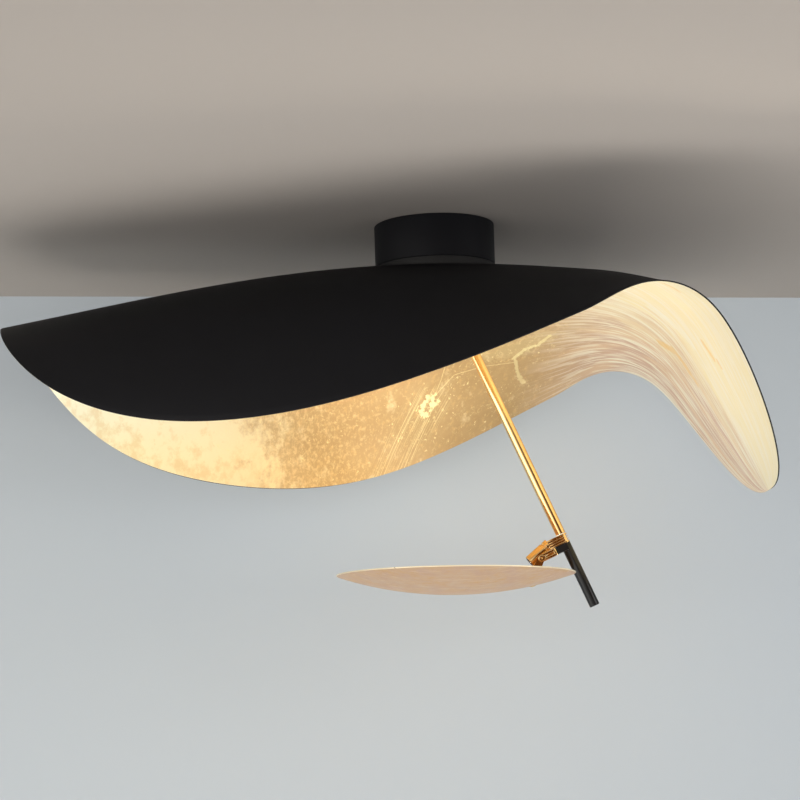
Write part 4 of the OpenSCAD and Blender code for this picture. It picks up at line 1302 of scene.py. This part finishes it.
WALL_Y = 0.412
WALL_TURN = 0.176
FLOOR_Z = -1.15
SIDE = 3.0
FRONT = -3.2
CEILING_Z = 0.4 * MM
CEILING_FRONT = -1.05
left_back = (-SIDE, WALL_Y - WALL_TURN * SIDE)
right_back = (SIDE, WALL_Y + WALL_TURN * SIDE)
room_surface("ceiling_plane", rgb(178, 171, 164), [(-SIDE, CEILING_FRONT, CEILING_Z),
             (*left_back, CEILING_Z), (*right_back, CEILING_Z), (SIDE, CEILING_FRONT, CEILING_Z)])
room_surface("wall_plane", rgb(191, 199, 205), [(*left_back, CEILING_Z), (*left_back, FLOOR_Z),
             (*right_back, FLOOR_Z), (*right_back, CEILING_Z)])
room_surface("floor_plane", rgb(206, 208, 212), [(-SIDE, FRONT, FLOOR_Z), (SIDE, FRONT, FLOOR_Z),
             (*right_back, FLOOR_Z), (*left_back, FLOOR_Z)])

# %% [markdown]
# Four of the lamps stand level with the dish or lower. "high_right" is a narrow one just under the
# ceiling, which shines down past the sheet at the lower part of the wall. Polished metal would
# mirror it and the "front" lamp as hard white shapes, so both are hidden from glossy rays. The last
# lamp stands for the light that the dish throws up: a soft disc over its bowl, which moves with the
# dish.

# %% Soft lamps
WARM = (1.0, 0.97, 0.93)
UNDER_WARM = (1.0, 0.97, 0.92)
GLOW_WARM = (1.0, 0.92, 0.78)
WHITE = (1.0, 1.0, 1.0)


def soft_lamp(name, place, target, width, height, power, color=WHITE, mirrored=True):
    data = bpy.data.lights.new(name, "AREA")
    data.shape = "RECTANGLE"
    data.size = width
    data.size_y = height
    data.energy = power
    data.color = color
    lamp = link(name, data)
    aim = (Vector(target) - Vector(place)).to_track_quat("-Z", "Y")
    lamp.matrix_world = Matrix.Translation(place) @ aim.to_matrix().to_4x4()
    lamp.visible_camera = False
    lamp.visible_glossy = mirrored
    print(f"{name}: {power} W")
    return lamp


middle = (cad_low + cad_high) / 2
# each lamp's place, the point it is aimed at, its width and height in metres, and its watts
soft_lamp("left_front", (-1.75, -1.45, -0.95), middle, 2.4, 1.3, 25.0, WARM)
soft_lamp("under", (0.0, -0.2, -1.12), (0.0, 0.0, -0.1), 1.8, 1.1, 10.5, UNDER_WARM)
soft_lamp("right_side", (1.7, -0.9, -0.6), middle, 0.8, 0.9, 9.0)
soft_lamp("front", (-0.3, -2.8, -0.42), (0.1, 0.4, -0.12), 2.0, 0.8, 15.0, mirrored=False)
soft_lamp("high_right", (1.2, -1.3, -0.12), (0.5, 0.25, -0.75), 1.6, 0.5, 5.5, mirrored=False)

GLOW_WIDTH = 0.19
GLOW_POWER = 1.7
bowl_low, bowl_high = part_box("dish")
glow_place = (bowl_low + bowl_high) / 2
glow_place.z = bowl_high.z + 2 * MM
glow = soft_lamp("dish_glow", glow_place, glow_place + Vector((0, 0, 1)), GLOW_WIDTH, GLOW_WIDTH,
                 GLOW_POWER, GLOW_WARM, mirrored=False)
glow.data.shape = "DISK"
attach(glow, "dish_group")

# %% [markdown]
# The world stands for the rest of the room. The camera sees an even pale tone there. Its light on
# the object is kept to a fifth, and only glossy rays meet it at full strength, so that the metal has
# a room to mirror: a pale side on the left and a dark brown field in front, on the right.

# %% The world
world = bpy.data.worlds.new("soft_room")
bpy.context.scene.world = world
world.use_nodes = True
sky = world.node_tree
sky.nodes.clear()
way = add(sky, "ShaderNodeTexCoord")


def towards(direction, low, high):
    """1 where the sky lies that way, 0 away from it. Low and high are cosines."""
    node = add(sky, "ShaderNodeVectorMath", {0: way.outputs["Generated"],
               1: Vector(direction).normalized()}, operation="DOT_PRODUCT")
    return Formula(node.outputs["Value"]).between(low, high)


pale_side = towards((-0.85, -0.5, -0.05), 0.1, 0.75)
dark_field = towards((0.68, -0.70, 0.20), 0.62, 0.80)
tone = mixed(sky, pale_side, rgb(170, 172, 178), rgb(255, 250, 240))
tone = mixed(sky, dark_field, tone, rgb(96, 60, 32))
seen = add(sky, "ShaderNodeLightPath")
strength = 0.20 + Formula(seen.outputs["Is Glossy Ray"]) * 0.8
room_light = add(sky, "ShaderNodeBackground", {"Color": tone, "Strength": strength})
backdrop = add(sky, "ShaderNodeBackground", {"Color": rgb(214, 218, 222), "Strength": 1.0})
either = add(sky, "ShaderNodeMixShader", {0: seen.outputs["Is Camera Ray"],
             1: room_light, 2: backdrop})
sky_output = add(sky, "ShaderNodeOutputWorld")
plug(sky, either, sky_output.inputs[0])
print("world:", len(sky.nodes), "nodes")

# %% The view's tones
bpy.context.scene.view_settings.view_transform = "Standard"
